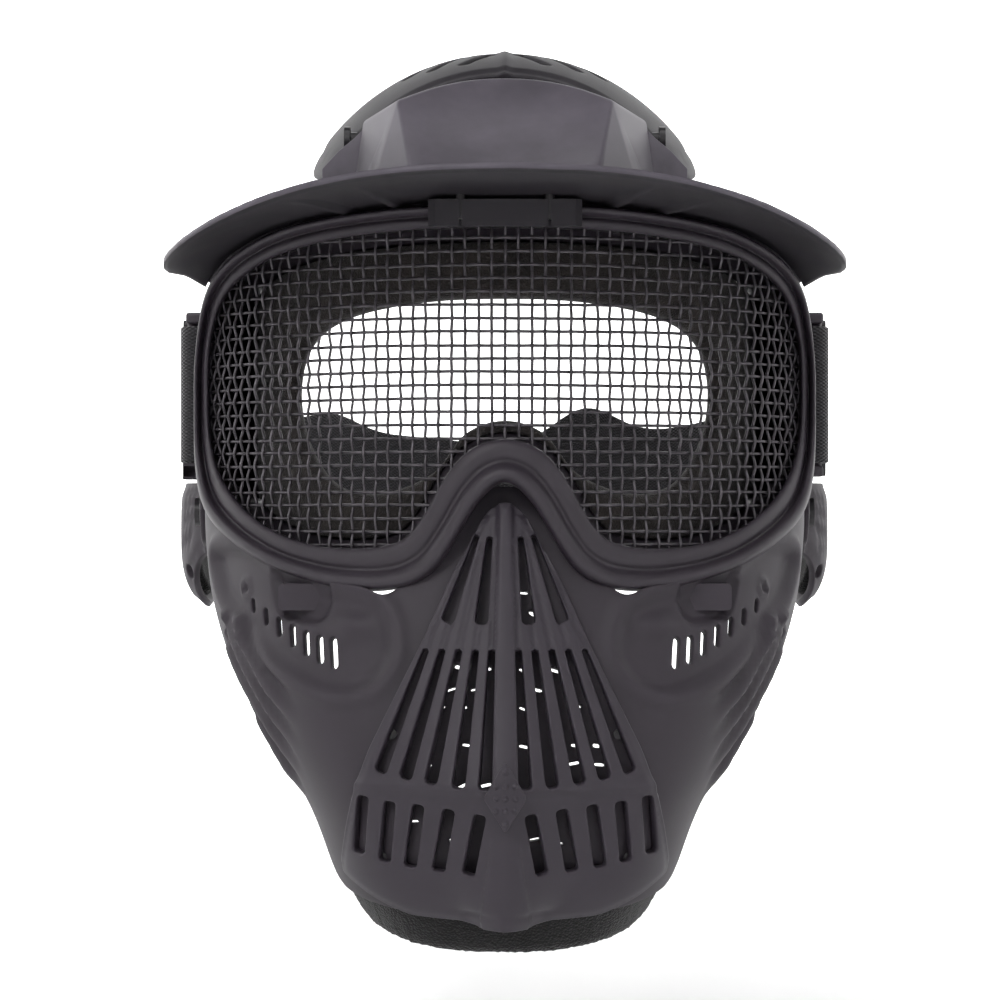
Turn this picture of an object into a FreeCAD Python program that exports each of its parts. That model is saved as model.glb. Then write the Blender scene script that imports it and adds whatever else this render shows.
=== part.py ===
import FreeCAD, Part
import math
import os

# Full-face mesh goggle mask with a sun visor, crown guard, ear guards and an elastic head strap.
#
# Millimetres. +Z is up, the mask faces -Y, and +X is on the viewer's right when looking along +Y.
# The origin is the centre of the wearer's head at eye level.

V = FreeCAD.Vector

# ---------------------------------------------------------------- driving dimensions
CLEAR = 0.3                 # gap between pieces that only lie against each other
RUN_CLEAR = 0.06            # radial gap of a pin or rivet in the hole that turns on it
FAR = 400.0                 # longer than the whole mask, for cutting prisms

# goggle: everything in it lies on upright cylinders about one axis
LENS_R = 100.0              # radius of the wire mesh
LENS_AXIS_Y = -20.0
FRAME_FRONT = 4.0           # frame face in front of the mesh
BEAD_RISE = 3.0             # raised bead round the frame's outer edge
FRAME_BACK_R = 90.0         # inside radius of the frame
FRAME_REAR_Y = -28.0        # the frame's sides end here
WIRE_D = 0.75
REBATE = 3.0                # how far the frame's groove reaches round the opening
LENS_PLAY = 0.8             # the mesh's edge inside that groove
RETAINER_T = 3.0

# half outlines of the goggle, (x, z), from the nose upwards and round to the brow
OPENING = [(0, -12), (10, -15), (17.5, -23), (25, -36), (32, -42.5), (46, -44.5), (62, -42.5),
           (76, -36), (87, -25), (92, -12), (93, 5), (92, 20), (87, 33), (76, 41.5), (60, 46.5),
           (35, 49.5), (0, 50.5)]
FRAME_EDGE = [(0, -25), (8, -31), (18.5, -48), (26, -54.5), (36, -57), (48, -56.5), (60, -54),
              (73, -49.5), (87, -41), (95, -32), (98, -20), (98.5, -3), (98, 15), (94.5, 33),
              (87, 43), (75, 49.5), (60, 53.5), (30, 56.5), (0, 57)]
BEAD_W = 6.0                # width of the raised bead
FOAM_OPENING = [(0, -6), (12, -10), (22, -22), (38, -28), (52, -25), (61, -12), (64, 4), (60, 18),
                (48, 26), (26, 30), (0, 31)]
FOAM_T = 12.0
FACE_R = 70.0               # the foam's face side lies on this radius
SKIRT_T = 2.5

# lower shell: level sections (z, half width, front y, y of the rear edge)
SHELL = [(-24, 96.5, -112, 14), (-42, 96.2, -118, 12), (-62, 93.5, -125, 4), (-84, 86, -132, -18),
         (-104, 74, -137, -46), (-124, 61.5, -139, -74), (-142, 54, -135, -90), (-154, 49.5, -127, -94)]
SHELL_POWER = (0.88, 0.55)  # how boxy the level sections are, below the eyes and at the chin
POWER_Z = (-50.0, -140.0)
SHELL_T = 2.4
SHELL_TURN_Y = -32.0        # where the sides become straight
SHELL_GAP = 0.4             # between the shell's edge and the goggle frame

SLIT_W = 1.8                # breathing slits behind the mouth guard
SLIT_STEP = 8.0

# mouth guard: top, crease and bottom (z, half width, y of the ridge)
GUARD_TOP = (-30, 8.5, -119)
GUARD_CREASE = (-111, 44, -154)
GUARD_BOTTOM = (-153, 52, -146)
GUARD_STAND_OFF = 1.6       # its edges in front of the shell
GUARD_T = 2.6
GUARD_SIDE_Z = -137.5       # lower corner of the guard's side edge
RIDGE_RISE = 1.6
SLOT_ROWS = 5               # slots on each side of the ridge in the two big rows
UPPER_SLOTS = 2             # slots on each side beside the nose
STUD_STEP = 3.2             # spacing of the grip dots on the chin diamond
STUD_R = 0.65
DIAMOND = ((0, -104.5), (6.0, -114), (0, -123.5))
DIAMOND_T = 4.2
SCREW_R = 1.5
GUARD_SCREWS = [(33, -98), (36, -134)]
PAD_T = 8.0                 # chin foam

# cheek vents
VENTS = 7
VENT_W = 1.9
VENT_X = (51.8, 78.9)       # first and last vent, x
VENT_Z = (-74.7, -62.1)     # their middle heights
VENT_H = (10.6, 6.2)        # their lengths

# visor
LIP_HALF, LIP_FRONT, LIP_REAR = 105.0, -168.0, -74.0   # plan of the brim's front edge
LIP_Z = 64.5                # height of its middle
LIP_DROP = 21.5             # how far its tips lie below that
LIP_POWER = 2.6
ROOT_GAP = 0.7              # the brim's root above the goggle frame
ROOT_TIP_Z = 39.5
BRIM_T = 2.4

# crown guard, a piece of an egg-shaped shell
CROWN_CENTRE_Z = 38.0
CROWN_SEMI = (76.0, 108.0, 80.0)
CROWN_T = 2.6
CROWN_FRONT_Y = -60.0
CROWN_PIVOT = (46.0, -54.0, 84.0)
CROWN_PIN_R = 2.5
CROWN_SLOT_W = 4.0
CROWN_HALF = 66.0           # half width at its front edge
CROWN_ARM_T = 2.6
CROWN_SLOTS = [(3, -28, 22), (3, -6, 42), (3, 14, 58), (14, 22, 46)]   # x, y of the start and length

# ear guards
EAR_CENTRE = (78.0, 30.0, -40.0)
EAR_SEMI = (33.0, 42.0, 34.0)
EAR_PAD_T = 4.0
EAR_TOP_Z = -24.0
EAR_IN_X = 84.0
EAR_CLEAR_Y = 21.0          # behind this the cup may reach in behind the shell
SHELL_SIDE_X = 96.2         # the shell's outside at the rivet
EAR_T = 2.4
EAR_BASE_X = 98.2           # inside face of the flange that lies outside the shell
EAR_PIVOT = (-8.0, -34.0)   # y, z of the rivet that it turns on
EAR_RIVET_R = 2.5
EAR_LOW_Z = -67.0

# strap
STRAP_W = 44.0
STRAP_T = 1.8
STRAP_Z = 4.0
ANCHOR_R = 2.4
ANCHOR = (100.4, -33.0)     # x, y of the anchor bar
TAIL_Y = 46.0               # the strap's loose end
SLIDER_Y = 8.0
TAB_AT = (61.0, -55.1)      # x, top z
TAB_SIZE = (14.0, 8.0)
BRIDGE_W = 45.0
SCREW_X, SCREW_Y = 13.0, -128.0
STRAP_BACK_Y = 104.0
STRAP_LEVEL_Y = 46.0        # the strap is level in front of this
STRAP_SAG = 34.0
SLIDER_BAR = 3.0
SLIDER_L = 24.0
SLIDER_RAIL = 4.0

PARTS = "parts"


# ---------------------------------------------------------------- helpers
def mirror_x(shape):
    return shape.mirror(V(0, 0, 0), V(1, 0, 0))


def box(x0, x1, y0, y1, z0, z1):
    return Part.makeBox(x1 - x0, y1 - y0, z1 - z0, V(x0, y0, z0))


def rod(radius, start, end):
    start, end = V(*start), V(*end)
    return Part.makeCylinder(radius, (end - start).Length, start, end - start)


def fuse(shapes):
    shapes = list(shapes)
    return shapes[0].multiFuse(shapes[1:]).removeSplitter() if len(shapes) > 1 else shapes[0]


def closed_curve(half):
    """A smooth closed curve through half an outline and its mirror image."""
    points = list(half) + [(-x, z) for x, z in reversed(half[1:-1])]
    curve = Part.BSplineCurve()
    curve.interpolate(Points=[V(x, 0, z) for x, z in points], PeriodicFlag=True)
    return curve


def half_curve(half, grow=0.0):
    """The smooth outline's half with x >= 0, from its low middle round to its high middle."""
    curve = closed_curve(half)
    high = curve.parameter(V(half[-1][0], 0, half[-1][1]))
    if grow:
        count = 40
        low = curve.FirstParameter
        points = []
        for k in range(count + 1):
            t = low + (high - low) * k / count
            p, d = curve.value(t), curve.tangent(t)[0]
            points.append((max(0, p.x + d.z * grow), p.z - d.x * grow))
        points[0] = (0, points[0][1])
        points[-1] = (0, points[-1][1])
        curve = closed_curve(points)
        high = curve.parameter(V(0, 0, points[-1][1]))
    curve.segment(curve.FirstParameter, high)
    return curve.toShape()


def prism_y(wire, y0=-FAR / 2, y1=FAR / 2):
    """The wire's face pushed along Y from y0 to y1."""
    face = Part.Face(wire)
    face.translate(V(0, y0 - face.BoundBox.YMin, 0))
    return face.extrude(V(0, y1 - y0, 0))


def outline_prism(half, grow=0.0, y0=-FAR / 2, y1=FAR / 2):
    """A prism along Y with a smooth symmetric outline, grown outwards by the given distance."""
    right = half_curve(half, grow)
    return prism_y(Part.Wire([right, mirror_x(right)]), y0, y1)


def polygon_prism(points, y0=-FAR / 2, y1=FAR / 2):
    corners = [V(x, 0, z) for x, z in points]
    return prism_y(Part.makePolygon(corners + corners[:1]), y0, y1)


def round_slot(start, end, width, y0=-FAR / 2, y1=-60.0):
    """A slot with round ends, seen along Y, between two (x, z) centres."""
    (ax, az), (bx, bz) = start, end
    length = math.hypot(bx - ax, bz - az)
    nx, nz = -(bz - az) / length * width / 2, (bx - ax) / length * width / 2
    a1, a2 = V(ax + nx, 0, az + nz), V(ax - nx, 0, az - nz)
    b1, b2 = V(bx + nx, 0, bz + nz), V(bx - nx, 0, bz - nz)
    ux, uz = (bx - ax) / length * width / 2, (bz - az) / length * width / 2
    cap_a, cap_b = V(ax - ux, 0, az - uz), V(bx + ux, 0, bz + uz)
    edges = [Part.Arc(a1, cap_a, a2).toShape(), Part.makeLine(a2, b2),
             Part.Arc(b2, cap_b, b1).toShape(), Part.makeLine(b1, a1)]
    return prism_y(Part.Wire(edges), y0, y1)


def goggle_band(r_in, r_out, y_rear=FRAME_REAR_Y):
    """The front part of an upright tube about the goggle's axis."""
    base, up = V(0, LENS_AXIS_Y, -FAR / 4), V(0, 0, 1)
    tube = Part.makeCylinder(r_out, FAR / 2, base, up).cut(Part.makeCylinder(r_in, FAR / 2, base, up))
    return tube.common(box(-FAR, FAR, -FAR, y_rear, -FAR, FAR))


def spline(points):
    curve = Part.BSplineCurve()
    curve.interpolate(Points=points)
    return curve.toShape()


def thin_section(outer, inner):
    """A closed wire round a thin section: along the outer points and back along the inner ones."""
    return Part.Wire([spline(outer), Part.makeLine(outer[-1], inner[-1]),
                      spline(inner[::-1]), Part.makeLine(inner[0], outer[0])])


def boxy(z):
    share = (POWER_Z[0] - z) / (POWER_Z[0] - POWER_Z[1])
    return SHELL_POWER[0] + (SHELL_POWER[1] - SHELL_POWER[0]) * min(1, max(0, share))


def u_curve(z, half, front, rear, turn=SHELL_TURN_Y):
    """A level curve: forward along one side, round a boxy ellipse and back along the other."""
    depth = turn - front
    power = boxy(z)
    last = math.pi / 2
    if rear < turn:
        last = math.acos(((turn - rear) / depth) ** (1 / power))
    side = []
    for k in range(0, 9):
        a = last * k / 8
        side.append(V(half * math.sin(a) ** power, turn - depth * max(0, math.cos(a)) ** power, z))
    if rear > turn:
        side += [V(half, turn + (rear - turn) * f, z) for f in (0.33, 0.66, 1)]
    return [V(-p.x, p.y, z) for p in side[:0:-1]] + side


def shell_face(x, z):
    """The y of the shell's outer face at a place on it."""
    spots = sorted(SHELL)
    z = min(max(z, spots[0][0]), spots[-1][0])
    for (z0, h0, f0, _), (z1, h1, f1, _) in zip(spots, spots[1:]):
        if z <= z1:
            s = (z - z0) / (z1 - z0)
            half, front = h0 + (h1 - h0) * s, f0 + (f1 - f0) * s
            break
    power = boxy(z)
    a = math.asin(min(1, (abs(x) / half)) ** (1 / power))
    return SHELL_TURN_Y - (SHELL_TURN_Y - front) * math.cos(a) ** power


# ---------------------------------------------------------------- goggle
def goggle_frame():
    outer = outline_prism(FRAME_EDGE)
    opening = outline_prism(OPENING)
    face_r = LENS_R + FRAME_FRONT
    ring = outer.common(goggle_band(FRAME_BACK_R, face_r)).cut(opening)
    bead = outer.cut(outline_prism(FRAME_EDGE, -BEAD_W)).common(
        goggle_band(face_r - 1, face_r + BEAD_RISE))
    groove = goggle_band(FRAME_BACK_R - 1, LENS_R + WIRE_D + CLEAR, -20)
    rebate = outline_prism(OPENING, REBATE).common(groove)
    return fuse([ring, bead]).cut(rebate)


def lens_retainer():
    """The ring that clamps the mesh into the frame from behind."""
    outside = outline_prism(OPENING, REBATE - CLEAR)
    r_out = LENS_R - WIRE_D - CLEAR
    band = goggle_band(r_out - RETAINER_T, r_out, FRAME_REAR_Y - 1)
    return outside.cut(outline_prism(OPENING)).common(band)


def mesh_lens():
    """The woven wire lens as one curved sheet, two wires thick, its edge under the frame's lip."""
    sheet = goggle_band(LENS_R - WIRE_D, LENS_R + WIRE_D, FRAME_REAR_Y)
    return outline_prism(OPENING, REBATE - LENS_PLAY).common(sheet)


def goggle_skirt():
    """The soft wall from the frame back to the face foam."""
    outer = outline_prism(OPENING, REBATE - 3 * CLEAR)
    inner = outline_prism(OPENING, REBATE - 3 * CLEAR - SKIRT_T)
    back_r = FACE_R + FOAM_T + CLEAR
    front_r = LENS_R - WIRE_D - RETAINER_T - 3 * CLEAR
    return outer.cut(inner).common(goggle_band(back_r, front_r, FRAME_REAR_Y - 1))


def face_foam():
    """The foam ring that the face rests on."""
    outer = outline_prism(OPENING, -2.0)
    ring = outer.cut(outline_prism(FOAM_OPENING)).common(goggle_band(FACE_R, FACE_R + FOAM_T, -34))
    return ring


# ---------------------------------------------------------------- lower shell
def shell_sections(inset=0.0, thick=SHELL_T, low=None, high=None):
    wires = []
    for z, half, front, rear in SHELL:
        if (low is not None and z < low) or (high is not None and z > high):
            continue
        outer = u_curve(z, half - inset, front + inset, rear)
        inner = u_curve(z, half - inset - thick, front + inset + thick, rear)
        wires.append(thin_section(outer, inner))
    return wires


def guard_at(z):
    """Half width and ridge y of the mouth guard at a height."""
    upper = z > GUARD_CREASE[0]
    (z0, w0, y0), (z1, w1, y1) = (GUARD_TOP, GUARD_CREASE) if upper else (GUARD_CREASE, GUARD_BOTTOM)
    s = (z0 - z) / (z0 - z1)
    return w0 + (w1 - w0) * s, y0 + (y1 - y0) * s


def face_shell():
    shell = Part.makeLoft(shell_sections(), True, False)
    shell = shell.cut(outline_prism(FRAME_EDGE, SHELL_GAP, y1=FRAME_REAR_Y + 2))
    shell = shell.cut(below([(-80, -140), (-54, -145), (-30, -150), (0, -152)]))
    cuts = []
    for side in (-1, 1):
        for k in range(VENTS):
            s = k / (VENTS - 1)
            x = VENT_X[0] + (VENT_X[1] - VENT_X[0]) * s
            z = VENT_Z[0] + (VENT_Z[1] - VENT_Z[0]) * s ** 1.5
            h = VENT_H[0] + (VENT_H[1] - VENT_H[0]) * s - VENT_W
            cuts.append(round_slot((side * x, z - h / 2), (side * (x + 0.4), z + h / 2), VENT_W, y1=-30))
        y, z = EAR_PIVOT
        cuts.append(rod(EAR_RIVET_R + RUN_CLEAR, (side * 80, y, z), (side * 120, y, z)))
    # the breathing slits behind the mouth guard
    z = -44.0
    while z > -138:
        reach = guard_at(z)[0] - 10
        for side in (-1, 1):
            cuts.append(round_slot((side * 3.5, z), (side * max(reach, 6), z - 2), SLIT_W, y1=-60))
        z -= SLIT_STEP
    return shell.cut(Part.makeCompound(cuts))


# ---------------------------------------------------------------- mouth guard
def guard_face(x, z):
    """The y of the guard's front: a wedge from its ridge that never comes nearer the shell than it may."""
    half, ridge = guard_at(z)
    limit = shell_face(x, z) - GUARD_STAND_OFF - GUARD_T
    edge = shell_face(half, z) - GUARD_STAND_OFF - GUARD_T
    wedge = ridge + (edge - ridge) * min(1, abs(x) / half) ** 1.35
    blend = 3.0
    gap = wedge - limit
    if gap < -blend:
        return wedge
    if gap > blend:
        return limit
    return limit + gap / 2 - blend / 4 - gap * gap / (4 * blend)


def guard_section(z, back=0.0):
    half = guard_at(z)[0]
    return [V(half * k / 8, guard_face(half * k / 8, z) + back, z) for k in range(-8, 9)]


def guard_slots():
    """Front-view slots: two short ones a side beside the nose, then the long row, then the chin row."""
    cuts = []
    for side in (-1, 1):
        for k in range(UPPER_SLOTS):
            top = (side * (4.6 + 4.4 * k), -39.5)
            low = (side * (7.4 + 9.2 * k), -63.5)
            cuts.append(tapered_slot(top, low, 1.4, 3.3))
        for k in range(SLOT_ROWS):
            top = (side * (4.3 + 4.7 * k), -73.0)
            low = (side * (6.2 + 7.5 * k), -110.5 + 0.9 * k)
            cuts.append(tapered_slot(top, low, 2.0, 3.5))
            top = (side * (6.4 + 8.2 * k), -119.5 + 0.8 * k)
            low = (side * (9.6 + 7.9 * k), -137.5 + 1.0 * k)
            cuts.append(tapered_slot(top, low, 3.4, 3.5))
    return Part.makeCompound(cuts)


def tapered_slot(top, low, top_w, low_w):
    (tx, tz), (lx, lz) = top, low
    corners = [(tx - top_w / 2, tz), (tx + top_w / 2, tz), (lx + low_w / 2, lz), (lx - low_w / 2, lz)]
    return polygon_prism(corners, y1=-100)


def guard_outline():
    half = [(0, GUARD_TOP[0] - 1), (4, GUARD_TOP[0] - 2.5), (GUARD_TOP[1], GUARD_TOP[0] - 9)]
    low = guard_at(GUARD_SIDE_Z)[0]
    right = [(GUARD_CREASE[1], GUARD_CREASE[0]), (low, GUARD_SIDE_Z), (30, -148.5), (9, -151.5)]
    points = half + right
    return points + [(-x, z) for x, z in points[:0:-1]]


def mouth_guard():
    panels = []
    rows = ([GUARD_TOP[0], -43, -57, -70, -84, -98, GUARD_CREASE[0]],
            [GUARD_CREASE[0], -122, -132, -142, GUARD_BOTTOM[0]])
    for levels in rows:
        wires = [thin_section(guard_section(z), guard_section(z, GUARD_T)) for z in levels]
        panels.append(Part.makeLoft(wires, True, False))
    panel = fuse(panels).common(polygon_prism(guard_outline()))
    bars = []
    for (z0, _, y0), (z1, _, y1), w0, w1 in ((GUARD_TOP, GUARD_CREASE, 1.9, 2.8),
                                             (GUARD_CREASE, GUARD_BOTTOM, 2.8, 4.6)):
        ends = []
        for z, y, w in ((z0 - 2, y0 + 0.6, w0), (z1 + 1.5, y1 + 0.4, w1)):
            ends.append(Part.makePolygon([V(-w, y + 0.8, z), V(-w * 0.6, y - RIDGE_RISE, z),
                                          V(w * 0.6, y - RIDGE_RISE, z), V(w, y + 0.8, z),
                                          V(0, y + GUARD_T, z), V(-w, y + 0.8, z)]))
        bars.append(Part.makeLoft(ends, True, True))
    guard = fuse([panel] + bars).cut(guard_slots())
    holes = [rod(SCREW_R + RUN_CLEAR, (x, y - RUN_CLEAR, z), (x, y + 6, z)) for x, y, z in screw_ends()]
    guard = guard.cut(outline_prism(FRAME_EDGE, SHELL_GAP)).cut(chin_pocket())
    return guard.cut(Part.makeCompound(holes))


def chin_pocket():
    y = GUARD_CREASE[2]
    (top, mid, low) = DIAMOND
    return polygon_prism([top, mid, low, (-mid[0], mid[1])], y - 8, y + 0.2)


def chin_diamond():
    """The grip pad with its dots on the guard's crease."""
    (top, mid, low) = DIAMOND
    back = GUARD_CREASE[2] + 0.2 - RUN_CLEAR
    front = back - DIAMOND_T
    pad = polygon_prism([top, mid, low, (-mid[0], mid[1])], front, back)
    dots = []
    for row, z in ((0, -108.5), (1, -111.5), (1, -114.5), (1, -117.5), (0, -120.5)):
        for k in range(-row, row + 1):
            dots.append(Part.makeSphere(STUD_R, V(k * STUD_STEP, front, z)))
    return fuse([pad] + dots)


def screw_ends():
    """The front ends of the guard's screws, x, y, z."""
    stand_off = GUARD_STAND_OFF + CLEAR
    return [(side * x, shell_face(x, z) - stand_off, z) for x, z in GUARD_SCREWS for side in (-1, 1)]


def guard_screws():
    """Four screws through the shell into the back of the guard's edge."""
    screws = []
    for x, y, z in screw_ends():
        back = y + GUARD_STAND_OFF + CLEAR + 10
        shank = rod(SCREW_R, (x, y, z), (x, back, z))
        screws.append(fuse([shank, rod(SCREW_R * 2, (x, back, z), (x, back + 2, z))]))
    return Part.makeCompound(screws)


def below(half):
    """Everything under a smooth curve through the given (x, z) points and their mirror images."""
    points = [V(x, -FAR / 2, z) for x, z in half] + [V(-x, -FAR / 2, z) for x, z in half[-2::-1]]
    deep = [V(points[-1].x, -FAR / 2, -FAR), V(points[0].x, -FAR / 2, -FAR)]
    wire = Part.Wire([spline(points), Part.makePolygon([points[-1]] + deep + [points[0]])])
    return Part.Face(wire).extrude(V(0, FAR, 0))


def chin_pad():
    """The foam strip inside the chin, standing out below the shell."""
    wires = []
    for z, half, front, rear in ((-142, 54, -135, -90), (-154, 49.5, -127, -94), (-164, 46, -123, -96)):
        room = SHELL_T + CLEAR
        outer = u_curve(z, half - room, front + room, rear)
        inner = u_curve(z, half - room - PAD_T, front + room + PAD_T, rear)
        wires.append(thin_section(outer, inner))
    pad = Part.makeLoft(wires, True, False)
    return pad.cut(below([(-70, -140), (-50, -147), (-36, -155.5), (-15, -161.5), (0, -163)]))


# ---------------------------------------------------------------- visor, hood, bracket
def lip_point(t):
    """A point of the brim's front edge, t from -1 at one tip to 1 at the other."""
    x = LIP_HALF * math.sin(t * math.pi / 2)
    y = LIP_REAR + (LIP_FRONT - LIP_REAR) * math.cos(t * math.pi / 2) ** 0.85
    return V(x, y, LIP_Z - LIP_DROP * abs(x / LIP_HALF) ** LIP_POWER)


def root_point(t):
    """The point of the brim's root over the goggle frame that belongs to t."""
    edge = half_curve(FRAME_EDGE, ROOT_GAP + BRIM_T)
    points = [p for p in edge.discretize(240) if p.z > ROOT_TIP_Z][::-1]
    p = points[min(len(points) - 1, int(round(abs(t) * (len(points) - 1))))]
    r = LENS_R + FRAME_FRONT
    y = LENS_AXIS_Y - math.sqrt(max(0, r * r - p.x * p.x)) + 6
    return V(math.copysign(p.x, t) if t else 0, min(y, -56), p.z)


def visor():
    """The brim, a sheet from the top of the goggle frame forward to its front edge."""
    sections = []
    for k in range(-8, 9):
        t = k / 8
        root, lip = root_point(t), lip_point(t)
        down = V(0, 0, -BRIM_T)
        mid = (root + lip) * 0.5 + V(0, 0, 1.2)
        sections.append(Part.makePolygon([root, mid, lip, lip + down, mid + down, root + down, root]))
    brim = Part.makeLoft(sections, True, False)
    return brim.cut(outline_prism(FRAME_EDGE, ROOT_GAP - 0.3, y1=-20))


def brim_top(x, y):
    """Height of the brim's upper face near the middle."""
    t = 2 / math.pi * math.asin(max(-1, min(1, x / LIP_HALF)))
    root, lip = root_point(t), lip_point(t)
    s = (y - root.y) / (lip.y - root.y)
    bow = 1.2 * (1 - abs(2 * s - 1))
    return root.z + (lip.z - root.z) * s + bow


HOOD = {                     # corners of the hood on the +X side
    "front_low": (27, -124, 57), "front_high": (32.5, -98, 91), "top": (16, -76, 100.5),
    "side_low": (41, -98, 56), "side_high": (43, -70, 88), "rear_low": (47, -70, 55),
}


def hood_solid(shrink=0.0, drop=0.0):
    """The faceted hood as a closed solid, or the space inside it when shrunk."""
    def at(name, side):
        x, y, z = HOOD[name]
        lowered = drop if z > 75 else (20 if drop else 0)
        return V(side * (x - shrink), y + shrink * 0.9, z - lowered)

    r = {n: at(n, 1) for n in HOOD}
    l = {n: at(n, -1) for n in HOOD}
    faces = [
        [l["front_low"], r["front_low"], r["front_high"], l["front_high"]],
        [l["front_high"], r["front_high"], r["top"], l["top"]],
        [l["top"], r["top"], r["side_high"], l["side_high"]],
        [l["side_high"], r["side_high"], r["rear_low"], l["rear_low"]],
    ]
    for s in (r, l):
        faces += [
            [s["front_low"], s["side_low"], s["front_high"]],
            [s["front_high"], s["side_low"], s["side_high"]],
            [s["front_high"], s["side_high"], s["top"]],
            [s["side_low"], s["rear_low"], s["side_high"]],
        ]
    faces += [[l["front_low"], r["front_low"], r["side_low"]], [l["front_low"], r["side_low"], l["side_low"]],
              [l["side_low"], r["side_low"], r["rear_low"]], [l["side_low"], r["rear_low"], l["rear_low"]]]
    shell = Part.makeShell([Part.Face(Part.makePolygon(f + f[:1])) for f in faces])
    solid = Part.makeSolid(shell)
    if solid.Volume < 0:
        solid.reverse()
    return solid


def brim_room():
    """Everything under the brim's upper face, where the hood may not reach."""
    sections = []
    for k in range(-4, 5):
        t = k / 8
        root, lip = root_point(t), lip_point(t)
        up = V(0, 0, 0.15)
        mid = (root + lip) * 0.5 + V(0, 0, 1.2)
        behind = root + (root - lip).normalize() * 60 + V(0, 0, 4)
        points = [behind + up, root + up, mid + up, lip + up, V(lip.x, lip.y, 20), V(behind.x, behind.y, 20)]
        sections.append(Part.makePolygon(points + points[:1]))
    return Part.makeLoft(sections, True, False)


def brow_hood():
    """The faceted hood over the brow, with the two bosses that the crown guard turns on."""
    hood = hood_solid().cut(hood_solid(2.2, 2.4))
    bosses = []
    holes = []
    x, y, z = CROWN_PIVOT
    for side in (-1, 1):
        bosses.append(rod(CROWN_PIN_R + 2.5, (side * 34, y - 15, z), (side * (x - CLEAR), y - 15, z)))
        bosses.append(rod(CROWN_PIN_R + 2.5, (side * (x - 6), y, z), (side * (x - CLEAR), y, z)))
        bosses.append(box(*sorted((side * (x - 6), side * (x - CLEAR))), y - 17, y, z - 4.5, z + 4.5))
        holes.append(rod(CROWN_PIN_R + RUN_CLEAR, (side * 20, y, z), (side * 60, y, z)))
    return fuse([hood] + bosses).cut(Part.makeCompound(holes))


def visor_bridge():
    """The block that joins the hood and the brim's middle to the top of the goggle frame."""
    block = box(-BRIDGE_W / 2, BRIDGE_W / 2, -129.5, -104, 50, 57.2 + ROOT_GAP)
    block = block.makeChamfer(2.0, [e for e in block.Edges if abs(e.tangentAt(e.FirstParameter).z) > 0.9])
    bead = goggle_band(60, LENS_R + FRAME_FRONT + BEAD_RISE + 0.15)
    frame_room = outline_prism(FRAME_EDGE, 0.15).common(bead)
    block = block.cut(frame_room)
    holes = [rod(SCREW_R + RUN_CLEAR, (side * SCREW_X, SCREW_Y, 40), (side * SCREW_X, SCREW_Y, 90))
             for side in (-1, 1)]
    block = sorted(block.cut(visor()).Solids, key=lambda s: s.Volume)[-1]
    return block.cut(Part.makeCompound(holes))


def visor_screws():
    """Two screws down through the brim into the bridge."""
    screws = []
    for side in (-1, 1):
        z = brim_top(SCREW_X, SCREW_Y)
        screws.append(fuse([rod(SCREW_R, (side * SCREW_X, SCREW_Y, 52), (side * SCREW_X, SCREW_Y, z + 1.5)),
                            rod(SCREW_R * 1.9, (side * SCREW_X, SCREW_Y, z + 1.2),
                                (side * SCREW_X, SCREW_Y, z + 2.8))]))
    return Part.makeCompound(screws)


def egg(grow):
    a, b, c = (v + grow for v in CROWN_SEMI)
    ball = Part.makeSphere(1.0)
    m = FreeCAD.Matrix()
    m.scale(a, b, c)
    shape = ball.transformGeometry(m)
    shape.translate(V(0, 0, CROWN_CENTRE_Z))
    return shape


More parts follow.
